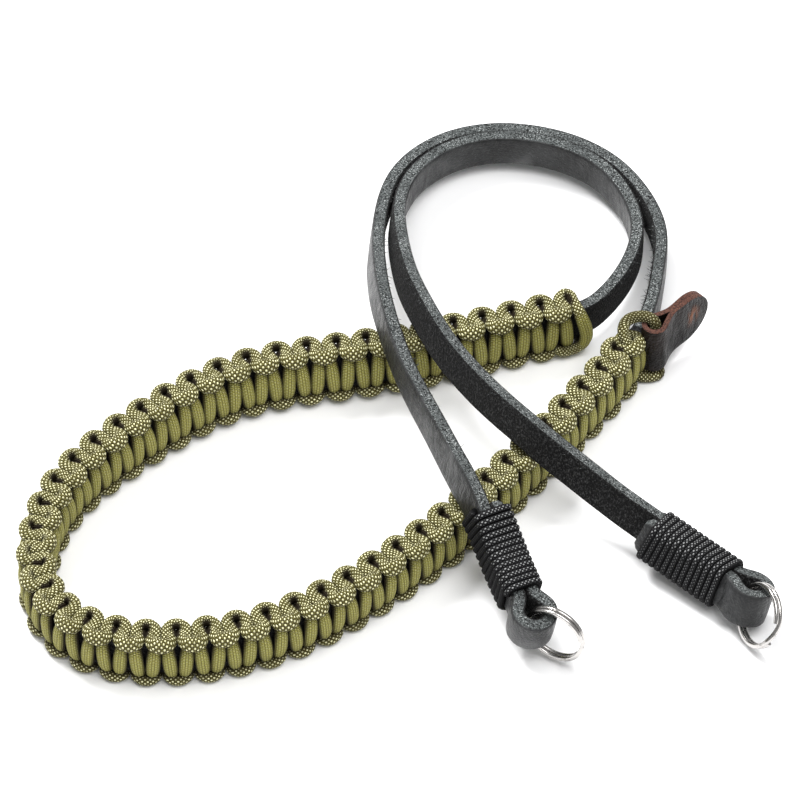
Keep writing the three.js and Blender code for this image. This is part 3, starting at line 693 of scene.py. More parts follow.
@dataclass(frozen=True)
class FleshLeather(Finish):
    """Rough fibrous side of the leather."""

    dark: Colour = (0.003, 0.003, 0.0032)
    light: Colour = (0.06, 0.061, 0.061)
    scale: float = 2200.0
    patch_scale: float = 28.0
    fleck_length: float = 0.6

    def make(self, flecks: bpy.types.NodeTree) -> bpy.types.Material:
        """Builds the material.

        Args:
            flecks: Group of the fibre flecks.

        Returns:
            The material.
        """
        material, put, shader, place = self.start()
        stretched = put.add("Mapping", {"Vector": place, "Scale": (1.0, 1.0, self.fleck_length)}).outputs[0]
        fleck = put.group(flecks, {"Place": stretched, "Scale": self.scale})
        patches = put.spread(put.noise(place, self.patch_scale, 3.0, 0.6), 0.35, 0.68, 0.25, 1.0)
        base = put.mix(put.times(fleck.outputs["Light"], patches), self.dark, self.light)
        self.colour(put, shader, put.mix(fleck.outputs["Dark"], base, self.dark))
        shader.inputs["Sheen Weight"].default_value = 0.04
        shader.inputs["Sheen Roughness"].default_value = 0.6
        shader.inputs["Specular IOR Level"].default_value = 0.1
        self.bump(put, shader, fleck.outputs["Height"], 0.5)
        return material


@dataclass(frozen=True)
class CutEdge(Finish):
    """Cut edge of the leather, dyed and worn, with fibre ends standing out."""

    base: Colour = (0.058, 0.065, 0.065)
    light: Colour = (0.62, 0.65, 0.645)
    dark: Colour = (0.006, 0.0065, 0.0065)
    scale: float = 2600.0
    fine_scale: float = 4420.0
    patch_scale: float = 120.0
    rim_dark: float = 0.85

    def make(self, flecks: bpy.types.NodeTree) -> bpy.types.Material:
        """Builds the material.

        Args:
            flecks: Group of the fibre flecks.

        Returns:
            The material.
        """
        material, put, shader, place = self.start()
        fleck = put.group(flecks, {"Place": place, "Scale": self.scale})
        patches = put.spread(put.noise(place, self.patch_scale, 3.0), 0.3, 0.7, 0.35, 1.0)
        fine = put.spread(put.noise(place, self.fine_scale, 1.0), 0.42, 0.6)
        base = put.mix(put.times(fleck.outputs["Light"], fine, patches), self.base, self.light)
        base = put.mix(fleck.outputs["Dark"], base, self.dark)
        rim = put.times(put.attribute("rim"), self.rim_dark)
        self.colour(put, shader, put.mix(rim, base, self.dark))
        shader.inputs["Specular IOR Level"].default_value = 0.25
        self.bump(put, shader, fleck.outputs["Height"], 0.35)
        return material


@dataclass(frozen=True)
class WovenCord(Finish):
    """Round cord with a woven sheath of two colours, with painted highlights and painted shade on it."""

    weave: Weave = Weave.OLIVE
    body: Colour = (0.042, 0.035, 0.007)
    body_light: Colour = (0.55, 0.52, 0.13)
    # Light dots: partly lighter strands, partly painted highlights.
    dot: Colour = (0.97, 0.94, 0.58)
    gap: Colour = (0.03, 0.02, 0.004)
    # Colour of the painted shade between the braid's cords and in the eyes of its turns.
    deep_shade: Colour = (0.014, 0.009, 0.002)
    row: float = 0.52
    count: float = 16.0
    offset: float = 0.0
    shine: float = 0.2
    relief: float = 0.3
    wear_scale: float = 650.0

    def make(self, weaves: bpy.types.NodeTree) -> bpy.types.Material:
        """Builds the material.

        Args:
            weaves: Group of the cord weave.

        Returns:
            The material.
        """
        material, put, shader, place = self.start()
        way = put.add("SeparateXYZ", {0: put.add("UVMap").outputs[0]})
        length, share = way.outputs[0], way.outputs[1]
        around = put.math("ADD", share, self.offset / self.count)
        cells = put.group(weaves, {"Length": length, "Around": around, "Row": self.row, "Count": self.count})
        dots, height, strands = (cells.outputs[name] for name in ("Dots", "Height", "Strands"))
        # band runs from the cord's inner side (-1) to its outer side (1); it places the painted shade and highlights.
        band = put.math("SINE", put.times(share, 2 * math.pi))
        lies_open = put.attribute("open")
        if self.weave is Weave.OLIVE:
            turn = put.attribute("turn")
            # Painted shade: the strands are darker on the cord's inner side; they are also darker on its turns.
            # Painted highlights: the light dots show fully on the turns and faintly on the bars and the inner side.
            strands = put.math("MULTIPLY_ADD", strands, 0.7, 0.3)
            strands = put.times(strands, put.spread(turn, 0.0, 1.0, 1.0, 0.2), put.spread(band, -0.3, 0.85, 0.25, 1.0))
            shown = put.times(dots, put.spread(turn, 0.0, 1.0, 0.22, 1.0), put.spread(band, -0.6, 0.6, 0.4, 1.0))
        else:
            # Painted light on the whipping: each turn is lighter along its outer crest, and the light specks, painted
            # highlights, show only on that crest where the winding faces up.
            strands = put.spread(band, 0.2, 1.0)
            shown = put.times(dots, put.spread(band, 0.72, 0.94), put.spread(lies_open, 0.0, 1.0, 0.05, 1.0))
        shown = put.times(shown, put.spread(put.noise(place, self.wear_scale, 2.0), 0.3, 0.6, 0.4, 1.0))
        shade = put.mix(shown, put.mix(strands, self.body, self.body_light), self.dot)
        shade = put.mix(put.spread(height, 0.2, 0.02), shade, self.gap)
        # Painted shade: the braid's cord turns to its painted shade colour where it lies closed to the light, between
        # the cords and in the eyes of its turns.
        if self.weave is Weave.OLIVE:
            shade = put.mix(put.spread(lies_open, 0.0, 1.0), self.deep_shade, shade)
        self.colour(put, shader, shade)
        shader.inputs["Specular IOR Level"].default_value = self.shine
        self.bump(put, shader, height, self.relief)
        return material


@dataclass(frozen=True)
class PlatedWire(Finish):
    """Bright plated steel wire with fine draw lines."""

    tint: Colour = (0.5, 0.485, 0.47)
    worn: Colour = (0.22, 0.21, 0.2)
    mark_scale: float = 350.0
    ripple_scale: float = 900.0

    def make(self) -> bpy.types.Material:
        """Builds the material.

        Returns:
            The material.
        """
        material, put, shader, place = self.start()
        marks = put.noise(place, self.mark_scale, 4.0, 0.6)
        self.colour(put, shader, put.mix(put.spread(marks, 0.55, 0.75), self.tint, self.worn))
        rough = put.spread(marks, 0.3, 0.8, self.roughness - 0.05, self.roughness + 0.15)
        put.tree.links.new(rough, shader.inputs["Roughness"])
        shader.inputs["Metallic"].default_value = 1.0
        self.bump(put, shader, put.noise(place, self.ripple_scale, 2.0), 0.02, 0.4)
        return material


def swept_box(half_out: float, half_up: float, radius: float, faces: tuple[int, int], corner: int) -> Array:
    """Outline of a rectangle with round corners, from the middle of its grain side, upwards first.

    Args:
        half_out: Half its size towards the grain side.
        half_up: Half its size upwards.
        radius: Radius of its corners.
        faces: Parts of a grain side and of an edge.
        corner: Parts of a corner.

    Returns:
        Points (n, 2) as out and up.
    """
    points: list[tuple[float, float]] = []
    x, y = half_out - radius, half_up - radius
    for quarter, (sx, sy) in enumerate(((1, 1), (-1, 1), (-1, -1), (1, -1))):
        for i in range(corner + 1):
            angle = (quarter + i / corner) * math.pi / 2
            points.append((sx * x + radius * math.cos(angle), sy * y + radius * math.sin(angle)))
        stop = {0: (-x, half_up), 1: (-half_out, -y), 2: (x, -half_up), 3: (half_out, y)}[quarter]
        parts = faces[1] if quarter % 2 == 0 else faces[0]
        last = points[-1]
        for i in range(1, parts):
            share = i / parts
            points.append((last[0] + (stop[0] - last[0]) * share, last[1] + (stop[1] - last[1]) * share))
    return np.array(points)


@dataclass
class Fold:
    """Folded end of the strip round a ring, and what is wound round it."""

    route: Route
    outward: int
    tail: float
    tail_round: float = 2.6
    length: float = 13.2
    eye_radius: float = 2.8
    neck_steps: int = 10
    arc_steps: int = 20
    turns: int = 12
    cord: float = 2.2

    @property
    def end(self) -> float:
        """Distance along the route where the whipping ends and the fold starts."""
        return 0.0 if self.outward < 0 else self.route.length

    @property
    def spacing(self) -> float:
        """Distance between the middles of the strip and of its folded-back end."""
        return self.route.strap_thickness + self.route.gap

    @property
    def eye_distance(self) -> float:
        """Distance from the whipping to the eye's axis."""
        return self.length - self.eye_radius - self.route.strap_thickness

    def outline(self) -> Array:
        """The fold seen along its eye.

        Returns:
            Pairs of distance past the whipping and offset towards the grain side.
        """
        middle = self.eye_radius + self.route.strap_thickness / 2
        spread = middle - self.spacing / 2
        shares = [i / self.neck_steps for i in range(1, self.neck_steps + 1)]
        neck = [(self.eye_distance * t, spread * (0.5 - 0.5 * math.cos(math.pi * t))) for t in shares]
        arc = []
        for i in range(1, self.arc_steps):
            angle = math.pi / 2 - math.pi * i / self.arc_steps
            reach, rise = middle * math.cos(angle), middle * math.sin(angle)
            arc.append((self.eye_distance + reach, -self.spacing / 2 + rise))
        back = [(distance, -self.spacing - bulge) for distance, bulge in reversed(neck)]
        return np.array([(0.0, 0.0), *neck, *arc, *back, (0.0, -self.spacing)])

    def stations(self, step: float) -> Stations:
        """Section frames from the neck round the eye and back beside the strip.

        Args:
            step: Distance between the stations of the folded-back end.

        Returns:
            The stations, running away from the strip first.
        """
        base = self.route.at_length(self.end)
        outline = self.outline()
        points = base.centre + base.out * outline[:, 1:] + base.along * outline[:, :1] * self.outward
        along = unit(points[2:] - points[:-2])
        up = np.repeat(base.up, len(along), axis=0)
        turned = Stations(points[1:-1], along, up, np.cross(up, along))
        whole = self.turns * self.cord + self.tail
        steps = math.ceil(whole / step)
        back = self.route.at_length(self.end - self.outward * np.linspace(0.0, whole, steps + 1))
        back.centre = back.place(out=-self.spacing)
        back.along = -back.along * self.outward
        back.out = -back.out * self.outward
        return turned.then(back)


@dataclass
class LeatherStrip:
    """The one leather strip: folds, arms, loop and braid core."""

    route: Route
    folds: tuple[Fold, Fold]
    body: str = "strap"
    step: float = 1.1
    corner: float = 0.45
    faces: tuple[int, int] = (8, 4)
    corner_steps: int = 2
    dome: float = 0.12
    padding: float = 0.22
    thickening: float = 0.1
    padded_before: float = 5.5
    padded_short: float = 2.0
    padded_ease: float = 3.0
    tip_height: float = 0.45
    tip_thickness: float = 0.6
    tip_cut: float = 0.93
    rim_width: float = 0.3

    def stations(self) -> Stations:
        """Section frames along the whole strip.

        Returns:
            The stations, from one folded-back end to the other.
        """
        steps = round(self.route.length / self.step)
        middle = self.route.at_length(np.linspace(0.0, self.route.length, steps + 1))
        left, right = (fold.stations(self.step) for fold in self.folds)
        return left.turned_back().then(middle).then(right)

    def sizes(self, count: int) -> tuple[Array, Array]:
        """How tall and thick each section is, with round tips and more body inside the braid.

        Args:
            count: Sections of the strip.

        Returns:
            Shares of the width and of the thickness, one a section.
        """
        tall, thick = np.ones(count), np.ones(count)
        for fold, order in zip(self.folds, (1, -1)):
            short = np.clip(1 - np.arange(count)[::order] * self.step / fold.tail_round, 0.0, self.tip_cut)
            tall *= 1 - (1 - np.sqrt(1 - short ** 2)) * self.tip_height
            thick *= 1 - (1 - np.sqrt(1 - short ** 2)) * self.tip_thickness
        first = len(self.folds[0].stations(self.step).centre)
        places = (np.arange(count) - first) * self.step
        inside = smooth_step((places - self.route.braid_start + self.padded_before) / self.padded_ease)
        inside *= smooth_step((self.route.braid_end - self.padded_short - places) / self.padded_ease)
        return tall * (1 + self.padding * inside), thick * (1 + self.thickening * inside)

    def build(self, finishes: Sequence[bpy.types.Material]) -> list[bpy.types.Object]:
        """Builds the strip and dresses its grain side, flesh side and cut edges.

        Args:
            finishes: Materials of the grain side, the flesh side and the edges.

        Returns:
            The pieces.
        """
        half_out, half_up = self.route.strap_thickness / 2, self.route.strap_width / 2
        section = swept_box(half_out, half_up, self.corner, self.faces, self.corner_steps)
        swell = self.dome * (1 - (section[:, 1] / half_up) ** 2) * np.sign(section[:, 0])
        frames = self.stations()
        tall, thick = self.sizes(len(frames.centre))
        rings = np.stack([
            frames.place(out=(x + d) * thick, up=y * tall) for (x, y), d in zip(section, swell)
        ], axis=1)
        closed = np.concatenate([section, section[:1]])
        around = path_lengths(closed)
        rim = smooth_step((np.abs(section[:, 0]) / half_out - 1 + self.rim_width) / self.rim_width)
        rims = np.tile(rim, (len(rings), 1))
        strip = wrapped("leather_strip", rings, around / around[-1], {"rim": rims})
        for finish in finishes:
            strip.data.materials.append(finish)
        middle = (closed[1:, 0] + closed[:-1, 0]) / 2
        face = half_out - self.rim_width
        kinds = np.where(middle > face, 0, np.where(middle < -face, 1, 2))
        self.dress(strip, kinds, around / around[-1], self.painted_shade_span(rings))
        smooth(strip, 60.0)
        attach(strip, self.body)
        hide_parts("leather_strap")
        return [strip]

    def painted_shade_span(self, rings: Array) -> tuple[float, float]:
        """Span of the strip's painted shade, from a little before it goes into the braid to a little before it comes
        out.

        Args:
            rings: Rings of the strip.

        Returns:
            The two places, as lengths of the piece's UV.
        """
        lengths = path_lengths(rings.mean(axis=1))
        first = len(self.folds[0].stations(self.step).centre)
        start = self.route.braid_start - self.padded_before - self.padded_short
        ends = (start, self.route.braid_end - self.padded_short)
        return tuple(float(lengths[first + round(end / self.step)]) for end in ends)

    def dress(
        self, strip: bpy.types.Object, kinds: Array, around: Array, painted_shade_span: tuple[float, float],
    ) -> None:
        """Gives each face the finish of its side, and as painted shade the dark flesh finish to every face inside the
        braid and a little before it.

        Args:
            strip: The strip.
            kinds: Finish of each part of the section.
            around: Shares of the way round at the parts' ends.
            painted_shade_span: Lengths between which every face gets the dark flesh finish as painted shade.
        """
        mesh = strip.data
        uv = np.empty(len(mesh.loops) * 2)
        mesh.uv_layers.active.data.foreach_get("uv", uv)
        lengths, shares = uv.reshape(-1, 2).T
        for face in mesh.polygons:
            # Painted shade: inside this span every face takes the dark flesh finish.
            if painted_shade_span[0] < lengths[face.loop_start] < painted_shade_span[1]:
                face.material_index = 1
            elif face.loop_total == 4:
                share = shares[face.loop_start:face.loop_start + 4].mean()
                part = min(np.searchsorted(around, share) - 1, len(kinds) - 1)
                face.material_index = int(kinds[part])
            else:
                face.material_index = 2


@dataclass
class LooseFibres:
    """Fibre ends that stand off the strip's raw edges."""

    route: Route
    body: str = "strap"
    seed: int = 7
    tuft_start: float = 46.0
    tuft_end: float = 14.0
    tuft_count: int = 90
    few_count: int = 160
    arm_bare: float = 30.0
    braid_bare: float = 8.0
    length: tuple[float, float] = (0.5, 2.2)
    thickness: float = 0.12

    def places(self, rng: np.random.Generator) -> Array:
        """Distances of the fibres along the strip.

        Args:
            rng: Source of chance.

        Returns:
            A close row beside the braid's start, and a few along the loop and the arms.
        """
        start = self.route.braid_start
        tuft = rng.uniform(start - self.tuft_start, start - self.tuft_end, self.tuft_count)
        before = rng.uniform(self.arm_bare, start - self.tuft_start, self.few_count // 2)
        ends = self.route.braid_end + self.braid_bare, self.route.length - self.arm_bare
        after = rng.uniform(*ends, self.few_count // 2)
        return np.concatenate([tuft, before, after])

    def build(self, finish: bpy.types.Material) -> list[bpy.types.Object]:
        """Builds and dresses the fibres as thin cones in one piece.

        Args:
            finish: Material of the fibres.

        Returns:
            The pieces.
        """
        rng = np.random.default_rng(self.seed)
        places = self.places(rng)
        frames = self.route.at_length(places)
        half_up, half_out = self.route.strap_width / 2, self.route.strap_thickness / 2
        roots = frames.place(out=0.2 - half_out, up=half_up - rng.uniform(0.1, 0.9, len(places)))
        lean = rng.uniform(-1.0, 1.0, (len(places), 1))
        ways = unit(frames.along * lean + frames.up * rng.uniform(-0.3, 0.7, (len(places), 1)) - frames.out)
        bpy.ops.object.select_all(action="DESELECT")
        bpy.ops.mesh.primitive_cone_add(vertices=3, radius1=0.001, depth=0.001, location=(0, 0, 0))
        fibres = bpy.context.object
        fibres.name = fibres.data.name = "loose_fibres"
        in_edit_mode(fibres)
        bpy.ops.mesh.delete(type="VERT")
        for root, way, share in zip(roots, ways, rng.uniform(0.0, 1.0, len(places)) ** 2):
            long = self.length[0] + (self.length[1] - self.length[0]) * share
            turn = Vector(way).to_track_quat("Z", "Y").to_euler()
            bpy.ops.mesh.primitive_cone_add(
                vertices=3, radius1=self.thickness * MM, radius2=0.02 * MM, depth=long * MM,
                location=Vector((root + way * long / 2) * MM), rotation=turn,
            )
        bpy.ops.object.mode_set(mode="OBJECT")
        fibres.data.materials.append(finish)
        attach(fibres, self.body)
        return [fibres]


@dataclass
class CordBraid:
    """Braided sleeve: two cords that cross the strip's two faces in turn and hook at its edges."""

    route: Route
    body: str = "strap"
    pitches: int = 49
    reach_up: float = 7.5
    reach_out: float = 4.3
    half_cord: float = 2.0
    steps: int = 3
    sides: int = 12
    skipped: int = 6
    envelope: tuple[float, float] = (9.3, 6.1)
    shade: tuple[float, float] = (0.6, 0.9)
    early: float = 2.7
    early_reach: float = 150.0
    eye_offset: float = 0.6
    eye_half: float = 0.07
    eye_depth: float = 1.3
    eye_edge: float = 1.3
    eye_fade: float = 0.1
    eye_height: float = 4.0
    turn_from: float = 4.5
    turn_over: float = 2.5

    def pitch_rows(self) -> Array:
        """One pitch of the front cord: down the front, and up again.

        Returns:
            Rows with the columns of the cord's route, without the first row of the next pitch.
        """
        upper = np.array(CORD_ROUTE, float)
        mirror, half = np.array([-1.0, -1.0, 1.0, 1.0, 1.0]), np.array([0.5, 0.0, 0.0, 0.0, 0.0])
        down = np.concatenate([upper, upper[-2::-1] * mirror + half])
        up = down[-2:0:-1] * np.array([-1.0, 1.0, 1.0, 1.0, 1.0]) + 2 * half
        return np.concatenate([down, up])

    def cord(self, front: bool) -> Array:
        """Rows of one cord over the whole braid.

        Args:
            front: True for the cord that crosses the front.

        Returns:
            Rows of place along in pitches, height, depth, half width and half thickness.
        """
        pitch = self.pitch_rows()
        count = len(pitch)
        along = np.array([1.0, 0.0, 0.0, 0.0, 0.0])
        rows = np.concatenate([pitch + i * along for i in range(-1, self.pitches)])
        if front:
            rows = rows[count + self.skipped:count // 2 + self.skipped - count]
        else:
            rows = rows[count // 2:1 - count] * np.array([1.0, 1.0, -1.0, 1.0, 1.0]) + along / 2
            rows = np.concatenate([rows, np.array(LAST_TURN) + (self.pitches - 1) * along])
        reach = np.array([1.0, self.reach_up, self.reach_out, self.half_cord, self.half_cord])
        return rows * reach

    def shading(self, rings: Array, frames: Stations, places: Array) -> Array:
        """How open each point lies to the light.

        Args:
            rings: Rings of a cord.
            frames: Stations at the rings.
            places: Places of the rings along the braid, in pitches.

        Returns:
            1 on the braid's outside, 0 between its cords and in the eyes of the turns that lie
            away from the front, which are those of the front cord on the braid's near run.
        """
        away = rings - frames.centre[:, None]
        up = (away * frames.up[:, None]).sum(axis=2)
        out = (away * frames.out[:, None]).sum(axis=2)
        along = (away * frames.along[:, None]).sum(axis=2) / self.pitch + places[:, None]
        share = (np.abs(up / self.envelope[0]) ** 4 + np.abs(out / self.envelope[1]) ** 4) ** 0.25
        lies_open = smooth_step((share - self.shade[0]) / (self.shade[1] - self.shade[0]))
        near_run = frames.out[:, None, 1] < 0
        beside = np.abs(np.mod(along + np.where(near_run, 0.5, 0.0), 1.0) - 0.5)
        before = np.abs(out + np.where(near_run, self.eye_offset, -self.eye_offset))
        deep_shade = 1 - smooth_step((beside - self.eye_half) / self.eye_fade)
        deep_shade *= 1 - smooth_step((before - self.eye_depth) / self.eye_edge)
        return lies_open * (1 - deep_shade * (np.abs(up) > self.eye_height))

    @property
    def pitch(self) -> float:
        """Length of one pitch in millimetres."""
        return (self.route.braid_end - self.route.braid_start) / self.pitches

    def build(self, finish: bpy.types.Material) -> list[bpy.types.Object]:
        """Builds and dresses the two cords.

        Args:
            finish: Material of the cord.

        Returns:
            The pieces.
        """
        cords = []
        for name, front in (("braid_cord_front", True), ("braid_cord_back", False)):
            line = through(self.cord(front) * np.array([self.pitch, 1.0, 1.0, 1.0, 1.0]), self.steps)
            early = self.early * np.maximum(1 - line[:, 0] / self.early_reach, 0.0)
            frames = self.route.at_length(self.route.braid_start + line[:, 0] - early)
            points = frames.place(out=line[:, 2], up=line[:, 1])
            away = line[:, 1:3] / np.array([self.reach_up, self.reach_out]) ** 2
            outward = frames.up * away[:, :1] + frames.out * away[:, 1:]
            rings = cord_rings(points, outward, line[:, 3], line[:, 4], self.sides)
            # turn is 1 on the cord's turns at the braid's edges, where the material paints its highlight dots.
            turn = smooth_step((np.abs(line[:, 1]) - self.turn_from) / self.turn_over)
            turns = np.repeat(turn[:, None], self.sides, axis=1)
            shades = self.shading(rings, frames, line[:, 0] / self.pitch)
            cord = wrapped(name, rings, values={"turn": turns, "open": shades})
            cord.data.materials.append(finish)
            smooth(cord)
            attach(cord, self.body)
            cords.append(cord)
        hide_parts("cord_braid")
        return cords


def round_outline(share: Array, half_out: float, half_up: float, radius: float) -> tuple[Array, Array]:
    """Places on a rectangle with round corners, by shares of its length.

    Args:
        share: Shares of the way round; whole numbers are turns.
        half_out: Half its size towards the grain side.
        half_up: Half its size upwards.
        radius: Radius of its corners.

    Returns:
        Points as out and up, and the outward directions at them.
    """
    outline = swept_box(half_out, half_up, radius, (6, 6), 8)
    closed = np.concatenate([outline, outline[:1]])
    lengths = path_lengths(closed)
    at = np.mod(share, 1.0) * lengths[-1]
    points = np.stack([np.interp(at, lengths, closed[:, k]) for k in (0, 1)], axis=1)
    inner = np.clip(points, [radius - half_out, radius - half_up], [half_out - radius, half_up - radius])
    return points, unit(points - inner)


@dataclass
class Whipping:
    """Black cord wound round the strip and its folded-back end."""

    fold: Fold
    name: str
    node: str
    body: str = "strap"
    stand: float = 0.9
    corner: float = 2.4
    half_width: float = 1.12
    half_thickness: float = 1.15
    steps: int = 48
    sides: int = 10

    def build(self, finish: bpy.types.Material) -> list[bpy.types.Object]:
        """Builds and dresses the winding.

        Args:
            finish: Material of the cord.

        Returns:
            The pieces.
        """
        fold = self.fold
        turn = np.linspace(0.0, fold.turns, fold.turns * self.steps + 1)
        half_out = (fold.spacing + fold.route.strap_thickness) / 2 + self.stand
        half_up = fold.route.strap_width / 2 + self.stand
        outline, ways = round_outline(turn, half_out, half_up, self.corner)
        run = self.half_width + turn / fold.turns * (fold.turns * fold.cord - 2 * self.half_width)
        frames = fold.route.at_length(fold.end - fold.outward * run)
        points = frames.place(out=outline[:, 0] - fold.spacing / 2, up=outline[:, 1])
        outward = frames.out * ways[:, :1] + frames.up * ways[:, 1:]
        rings = cord_rings(points, outward, self.half_width, self.half_thickness, self.sides)
        # Painted highlight mask: how far each part of the winding faces up; the cord's light specks show only there.
        facing = np.repeat(smooth_step(outward[:, 2:] * 1.1 + 0.1), self.sides, axis=1)
        winding = wrapped(self.name, rings, values={"open": facing})
        winding.data.materials.append(finish)
        smooth(winding)
        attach(winding, self.body)
        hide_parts(self.node)
        return [winding]


@dataclass
class SplitRing:
    """Split ring of two turns of flattened wire, through the fold's eye."""

    fold: Fold
    name: str
    node: str
    body: str
    swing: float
    lean: float = -8.0
    outer: float = 18.4
    radial: float = 1.3
    axial: float = 1.15
    turn_gap: float = 0.12
    step_angle: float = 0.42
    back_reach: float = 1.7
    steps: int = 96
    wire_corner: float = 0.38

    def placed(self) -> tuple[Array, Array, Array, Array]:
        """Where the ring is.

        Returns:
            Its centre, the way that it points, its up and its axis.
        """
        fold = self.fold
        base = fold.route.at_length(fold.end)
        up0 = base.up[0]
        eye = base.place(out=-fold.spacing / 2, along=fold.eye_distance * fold.outward)[0]
        away = turned(base.along[0] * fold.outward, up0, math.radians(self.swing))
        up = turned(up0, away, math.radians(self.lean))
        axis = unit(np.cross(up, away))
        radius = self.outer / 2
        centre = eye + away * (radius - self.back_reach)
        lowest = centre[2] - fold.route.shift[2] - radius * math.sqrt(1 - axis[2] ** 2)
        return centre + up0 * max(0.0, -lowest / up0[2]), away, up, axis

    def build(self, finish: bpy.types.Material) -> list[bpy.types.Object]:
        """Builds and dresses the wire.

        Args:
            finish: Material of the wire.

        Returns:
            The pieces.
        """
        centre, away, up, axis = self.placed()
        radius = (self.outer - self.radial) / 2
        angle = np.linspace(self.step_angle, 4 * math.pi - self.step_angle, 2 * self.steps + 1)
        crossing = (angle - 2 * math.pi) / self.step_angle
        side = (smooth_step(crossing / 2 + 0.5) - 0.5) * (self.axial + self.turn_gap)
        outwards = away * np.cos(angle)[:, None] + up * np.sin(angle)[:, None]
        section = swept_box(self.radial / 2, self.axial / 2, self.wire_corner, (1, 1), 3)
        rings = np.stack([
            centre + outwards * (radius + x) + axis * (side + y)[:, None] for x, y in section
        ], axis=1)
        ring = wrapped(self.name, rings)
        ring.data.materials.append(finish)
        smooth(ring, 50.0)
        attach(ring, self.body)
        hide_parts(self.node)
        return [ring]


def turned(vector: Array, axis: Array, angle: float) -> Array:
    """Turns a vector about an axis.

    Args:
        vector: The vector.
        axis: Axis of length one.
        angle: Angle in radians.

    Returns:
        The turned vector.
    """
    across, along = np.cross(axis, vector), axis * (axis @ vector)
    return vector * math.cos(angle) + across * math.sin(angle) + along * (1 - math.cos(angle))


